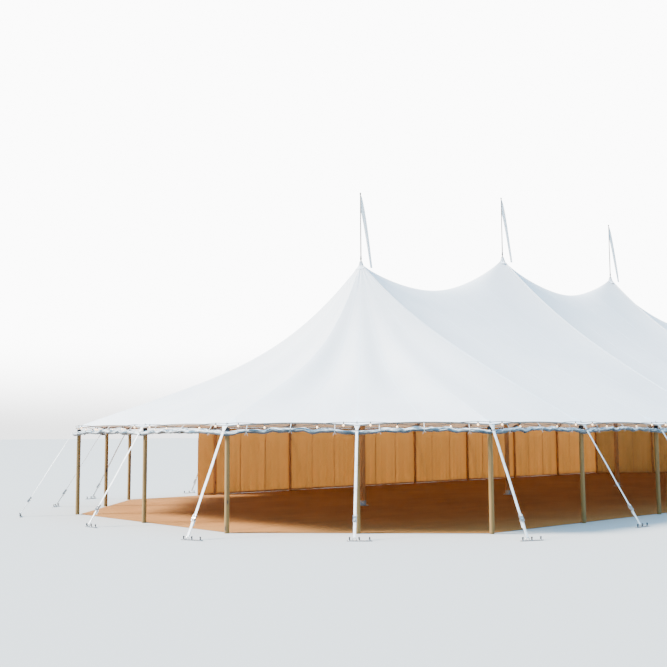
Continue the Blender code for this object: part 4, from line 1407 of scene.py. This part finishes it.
def loose_lap(places, path, outward, up, radius, run_metres):
    """The roll's loose lap: a thin sheet over its top and outer side, with a free edge that wavers."""
    along = places * BAY
    free = -0.75 + 0.45 * np.sin(1.9 * along) + 0.25 * np.sin(5.3 * along + 1.0)
    spread = np.linspace(0, 1, 13)
    angle = LAP_TOP + (free[:, None] - LAP_TOP) * spread
    spot = ((angle - math.pi / 2) % (2 * math.pi)) / (2 * math.pi / ROLL_SIDES)
    low = np.floor(spot).astype(int)
    rows = np.arange(len(places))[:, None]
    under = radius[rows, low] * (1 - spot + low) + radius[rows, (low + 1) % ROLL_SIDES] * (spot - low)
    flutter = 0.5 + 0.5 * np.sin(9.0 * along + 2.0 * np.sin(2.2 * along))[:, None]
    held = 1 - 0.9 * tie_closeness(places)[:, None]
    reach = under + 0.0025 + (0.008 * spread**3 * flutter + 0.001 * spread) * held
    away = np.cos(angle)[..., None] * outward[:, None] + np.sin(angle)[..., None] * up[:, None]
    wound = ROLL_GIRTH * (1 + (angle - math.pi / 2) / (2 * math.pi))
    uv = np.stack([wound, np.broadcast_to(run_metres[:, None], wound.shape)], -1)
    return facing_out(sheet_part(path[:, None] + reach[..., None] * away, 0.0016, uv))


def rolled_wall(side, start, stop):
    """A side wall rolled up: a ring of roll_radius carried along roll_centre, and its loose lap."""
    places = np.linspace(start, stop, int((stop - start) * ROLL_RINGS_PER_BAY) + 1)
    path = roll_centre(places)
    outward, up = flat_frame(path)
    turn = math.pi / 2 + turns(ROLL_SIDES)
    radius = roll_radius(places, turn)
    ends = np.clip(np.minimum(places - start, stop - places) * BAY / 0.04, 0.35, 1)[:, None]
    profile = (radius * ends)[..., None] * np.stack([np.cos(turn), np.sin(turn)], -1)
    roll = carried_part(path, outward, up, profile, around=np.linspace(0, ROLL_GIRTH, ROLL_SIDES + 1))
    inner = (rows[2:-2] for rows in (places, path, outward, up, radius, metres_along(path)))
    parts = [roll, loose_lap(*inner)]
    obj = make(f"rolled_wall_cloth_{side}", parts, [ROLLED], [f"rolled_wall_{side}"], sharp=75)


def roll_ties():
    """The tie tapes: a band drawn round the roll, a tape up to the eave and two short tails below."""
    parts = []
    turn = turns(26)
    places = (np.arange(-POLES, POLES) + 0.5) / TIES_PER_BAY
    for place in places[(places > WALL_END - POLES + 0.05) & (places < WALL_START - 0.02)]:
        centre, outward, up, run = spot_on(roll_centre, place)
        reach = roll_radius(np.array([place]), turn)[0] + 0.0046
        ring = centre + reach[:, None] * (np.cos(turn)[:, None] * outward + np.sin(turn)[:, None] * up)
        parts.append(loop_part(ring, rounded(0.0018, TIE_WIDTH + 0.002, 0.0008), run))
        eave = spot_on(functools.partial(edge_path, out=GAP + 0.0062, up=-0.020), place)[0]
        start = centre + up * (reach.max() * 0.96)
        path = start + (eave - start) * np.linspace(0, 1, 8)[:, None]
        parts.append(band_part(path, run, unit(np.cross(run, eave - start)), TIE_WIDTH, TIE_THICK))
        share = np.linspace(0, 1, 10)[:, None]
        knot = centre - up * reach.min() * 0.9 + outward * 0.012
        for side in (-1, 1):
            drop = RANDOM.uniform(0.03, 0.06)
            path = knot - up * drop * share + run * side * 0.03 * share**0.6
            path = path + outward * 0.012 * np.sin(3 * share)
            across = unit(run + outward * 0.4 * side)
            parts.append(band_part(path, across, unit(np.cross(across, up)), 0.010, TIE_THICK))
    make("roll_ties", parts, [TIE_TAPE])


# Walls let down

def wall_points(places, shares):
    """Points of a wall let down, from share 0 under the eave to 1 on the ground.

    Its top follows the scalloped edge just inside the webbing, and eases out to the line outside the poles.
    Below, folds (1 + cos) / 2 by place stand off that line, deeper towards the ground.
    """
    top = edge_height(places) - WEB_DEPTH - 0.004
    height = top * (1 - shares)
    ease = smooth((top - height) / WALL_EASE)
    along = places * BAY
    wander = np.sin(0.9 * along) + 0.5 * np.sin(2.3 * along + 1.0)
    fold = 0.5 + 0.5 * np.cos(2 * math.pi * along / 0.52 + 1.6 * wander + 0.5 * shares)
    fine = 0.5 + 0.5 * np.cos(2 * math.pi * along / 0.19 + 2.0 * wander)
    depth = (0.018 * fold + 0.006 * fine) * (0.25 + 0.75 * shares) * np.clip(ease + 0.15, 0, 1)
    inside, clear = EDGE_REACH - SCALLOP_IN * bow(fraction(places)) - 0.012, POLE_RADIUS + GAP + 0.0045
    plan = beside_poles(places, inside * (1 - ease) + clear * ease + depth)
    return np.concatenate([plan, np.maximum(height, 0.002)[..., None]], -1)


def hung_wall(name, node, start, stop):
    """A wall let down, with its sewn seams and hems."""
    places = np.linspace(start, stop, int((stop - start) * WALL_COLUMNS_PER_BAY) + 1)
    grid = wall_points(*np.broadcast_arrays(places[None], np.linspace(0, 1, 44)[:, None]))[:, ::-1]
    cloth = sheet_part(grid[::-1, ::-1], WALL_THICK, grid_uv(grid))
    obj = make(name, [cloth], [WALL], [node], sharp=60)
    declare_sheet(grid)
    parts = []
    for place in np.arange(start + 0.33, stop - 0.02, 1 / 3):
        toward = np.append(on_line(MITRES, np.array([place]))[0], 0.0)
        parts.append(seam_tape(wall_points, place, np.linspace(0.002, 0.999, 40), WALL_THICK, toward))
    inner = places[1:-1]
    toward = np.column_stack([on_line(MITRES, inner), 0 * inner])
    for share, width in ((0.012, 0.05), (0.985, 0.06)):
        line, below = (wall_points(inner, 0 * inner + at) for at in (share, share + 0.004))
        parts.append(tape_along(line, below, width, TAPE_THICK, WALL_THICK, toward))
    make(name + "_seams", parts, [WALL_TAPE])


def wall_loops():
    """Webbing loops over the eave webbing, sewn to the top hem of the walls let down."""
    parts = []
    hem_line = functools.partial(wall_points, shares=np.full(3, 0.025))
    for place in np.arange(WALL_START + 0.05, WALL_END, WALL_LOOP_PITCH):
        _, outward, _, run = spot_on(edge_path, place)
        high = spot_on(functools.partial(edge_path, out=0.010, up=0.004), place)[0]
        low = spot_on(hem_line, place)[0] + outward * 0.003
        path = low + (high - low) * np.linspace(0, 1, 8)[:, None]
        parts.append(band_part(path, run, outward, 0.024, 0.0022))
    make("wall_loops", parts, [WEBBING])


# Floor matting

def floor_mats():
    """Coir lengths laid side by side along the tent, cut to the poles' outline and butted at a joint."""
    outline = offset_line(POLE_LINE, MAT_BOX[1, 1] - POLE_LINE[:, 1].max())
    end_x, high_y = outline.max(axis=0)
    corner_y = np.sort(np.abs(outline[:, 1]))
    flat_y = corner_y[corner_y > 0.1][0]
    side_x = outline[np.isclose(outline[:, 1], high_y), 0].max()
    seams = np.linspace(-high_y, high_y, MAT_STRIPS + 1)
    across, along = np.meshgrid(np.linspace(0, 1, 15), np.linspace(0, 1, 150), indexing="ij")
    edge = np.minimum(np.minimum(across, 1 - across) * 1.9, np.minimum(along, 1 - along) * 14)
    for strip in range(MAT_STRIPS):
        joint = MAT_JOINT * (1 if strip % 2 else -1)
        y = seams[strip] + MAT_SLIT + across * (seams[strip + 1] - seams[strip] - 2 * MAT_SLIT)
        reach = end_x - (end_x - side_x) * np.clip((np.abs(y) - flat_y) / (high_y - flat_y), 0, 1)
        for half in (-1, 1):
            x = joint + half * MAT_SLIT + (half * reach - joint - half * MAT_SLIT) * along
            lift = 0.0012 * np.sin(1.7 * x + 0.8 * strip) * np.sin(2.1 * y + 1.0) - 0.002 * bell(edge, 0.03)
            grid = np.stack([x, y, MAT_TOP + lift], -1)[::half]
            name = f"coir_length_{strip + 1}_{'west' if half < 0 else 'east'}"
            obj = make(name, [mat_part(grid)], [COIR], ["floor_mat"])
            declare_sheet(grid, flat=np.ptp(grid[..., :2], axis=(0, 1)))


def mat_part(grid):
    """A length of matting: its top grid, with the same grid flat at the underside."""
    part = sheet_part(grid, 0.0, grid_uv(grid))
    points = part.points.copy()
    points[len(points) // 2:, 2] = MAT_UNDERSIDE
    return facing_out(part._replace(points=points))


# Festoon lighting

def cable_points(places):
    """The cable: outside the eave webbing, above it by CABLE_ABOVE - CABLE_SWAG sin(pi f)^2.6 at f of a bay.

    So it lies over each canvas corner and hangs in a shallow swag between them.
    """
    path = edge_path(places, GAP + WEB_SPACE + GAP + CABLE_RADIUS)
    path[:, 2] += CABLE_ABOVE - CABLE_SWAG * np.abs(np.sin(math.pi * fraction(places))) ** 2.6
    return path


def festoon():
    """The lighting cable, with a rubber lampholder and a warm lamp at each fifth of a bay."""
    start, stop = WALL_END + ROLL_CLEAR, POLES + WALL_START
    places = np.linspace(start, stop, int((stop - start) * CABLE_RINGS_PER_BAY) + 1)
    holders, lamps = [tube_part(cable_points(places), CABLE_SKIN, 8)], []
    holder = turned_part([(0.004, 0.010), (0.0075, 0.008), (0.008, -0.004), (0.0112, -0.010),
                          (0.0118, -0.036), (0.0105, -0.038)], 10)
    lamp = turned_part([(0.0085, -0.036), (0.0095, -0.042), (0.0150, -0.050), (0.0188, -0.060),
                        (0.0188, -0.068), (0.0150, -0.077), (0.0080, -0.0825), (0.002, -0.084)], 12)
    first = (np.ceil(start * LAMPS_PER_BAY) + 0.5) / LAMPS_PER_BAY
    for place in np.arange(first, stop - 0.02, 1 / LAMPS_PER_BAY):
        spot, outward, up, _ = spot_on(cable_points, place)
        down = unit(up - outward * 0.10)
        side = unit(np.cross(outward, down))
        axes = (side, np.cross(down, side), down)
        holders.append(placed(holder, spot + outward * 0.0135, axes))
        lamps.append(placed(lamp, spot + outward * 0.0135, axes))
    make("festoon_line", holders, [RUBBER], ["festoon_cable"])
    make("festoon_lamps", lamps, [BULB])


# Studio

SKY_LIGHT_LOW = 0.7
SKY_LIGHT_HIGH = 6.2
SKY_COLOR = (0.36, 0.68, 1.0)
SUN_STRENGTH = 28.0
SUN_COLOR = (1.0, 0.92, 0.82)
SUN_PLACE = (-28.0, 22.0, 34.0)
SUN_SPREAD = 16
BACKDROP_LOW = 3.0
BACKDROP_HIGH = 11.0
FLOOR_RADIUS = 340.0
FLOOR_COLOR = (0.27, 0.268, 0.26)

# Camera, from the photograph: 51.8 mm on a 36 mm wide frame, 1.92 m above the ground, looking up 5.9 degrees
CAMERA_PLACE = (-26.73, -18.40, 1.923)
CAMERA_LENS = 51.83
CAMERA_TURN = -0.7334
CAMERA_PITCH = 0.1025
CAMERA_ROLL = -0.0055


def studio():
    """A plain pale floor, a soft sky and one broad sun. The sky is paler where the camera sees it."""
    mesh = bpy.data.meshes.new("studio_floor")
    rim = circle(FLOOR_RADIUS, 120)
    mesh.from_pydata([(x, y, -0.002) for x, y in rim], [], [range(len(rim))])
    mesh.materials.append(Finish("studio_floor", FLOOR_COLOR, 0.95).material)
    floor = bpy.data.objects.new("studio_floor", mesh)
    bpy.context.scene.collection.objects.link(floor)
    world = bpy.data.worlds.new("studio_sky")
    world.use_nodes = True
    tree = world.node_tree
    soft = tree.nodes["Background"]
    height = put(tree, "TexCoord", output="Generated").part(2)
    glow = [tuple(channel * level for channel in SKY_COLOR) for level in (SKY_LIGHT_LOW, SKY_LIGHT_HIGH)]
    fill(tree, soft.inputs["Color"], height.ramp(0.0, 1.0).mix(*glow))
    sweep = height.ramp(0.0, 0.10).mix((BACKDROP_LOW,) * 3, (BACKDROP_HIGH,) * 3)
    seen = put(tree, "Background", {"Color": sweep})
    pick = put(tree, "MixShader", {0: put(tree, "LightPath"), 1: Value(tree, soft.outputs[0]), 2: seen})
    fill(tree, tree.nodes["World Output"].inputs["Surface"], pick)
    bpy.context.scene.world = world
    sun = bpy.data.lights.new("soft_sun", "SUN")
    sun.energy = SUN_STRENGTH
    sun.angle = math.radians(SUN_SPREAD)
    sun.color = SUN_COLOR
    lamp = bpy.data.objects.new("soft_sun", sun)
    lamp.location = SUN_PLACE
    x, y, z = SUN_PLACE
    lamp.rotation_euler = (math.atan2(math.hypot(x, y), z), 0.0, math.atan2(-y, -x) - math.pi / 2)
    bpy.context.scene.collection.objects.link(lamp)


def camera():
    """The camera, turned from straight down by its pitch and roll and then about Z."""
    lens = bpy.data.cameras.new("camera")
    lens.sensor_width = 36.0
    lens.lens = CAMERA_LENS
    lens.clip_end = 500.0
    view = bpy.data.objects.new("camera", lens)
    turn = Matrix.Rotation(CAMERA_TURN, 4, "Z") @ Matrix.Rotation(math.pi / 2 + CAMERA_PITCH, 4, "X")
    view.matrix_world = Matrix.Translation(CAMERA_PLACE) @ turn @ Matrix.Rotation(CAMERA_ROLL, 4, "Z")
    bpy.context.scene.collection.objects.link(view)
    bpy.context.scene.camera = view


camera()
end_canvas("west_end_canvas", "roof_west_end", -1)
end_canvas("east_end_canvas", "roof_east_end", 1)
for king in range(len(KINGS) - 1):
    middle_canvas(f"middle_canvas_{king + 1}", f"roof_middle_{king + 1}", king)
seam_tapes()
joint_flaps()
bolt_rope()
corner_patches()
peak_caps()
corner_pins()
eave_webbing()
side_poles()
king_poles()
pennants()
guy_straps()
guy_rings()
ratchets()
anchors()
rolled_wall("west", WALL_END + ROLL_CLEAR, POLES - GAP)
rolled_wall("near", GAP, STRAIGHT_POLES - 1 - GAP)
rolled_wall("east", STRAIGHT_POLES - 1 + GAP, WALL_START - GAP)
roll_ties()
hung_wall("corner_wall_cloth", "corner_wall", WALL_START + GAP, WALL_CORNER - GAP)
hung_wall("far_wall_cloth", "far_wall", WALL_CORNER + GAP, WALL_END)
wall_loops()
floor_mats()
festoon()
studio()
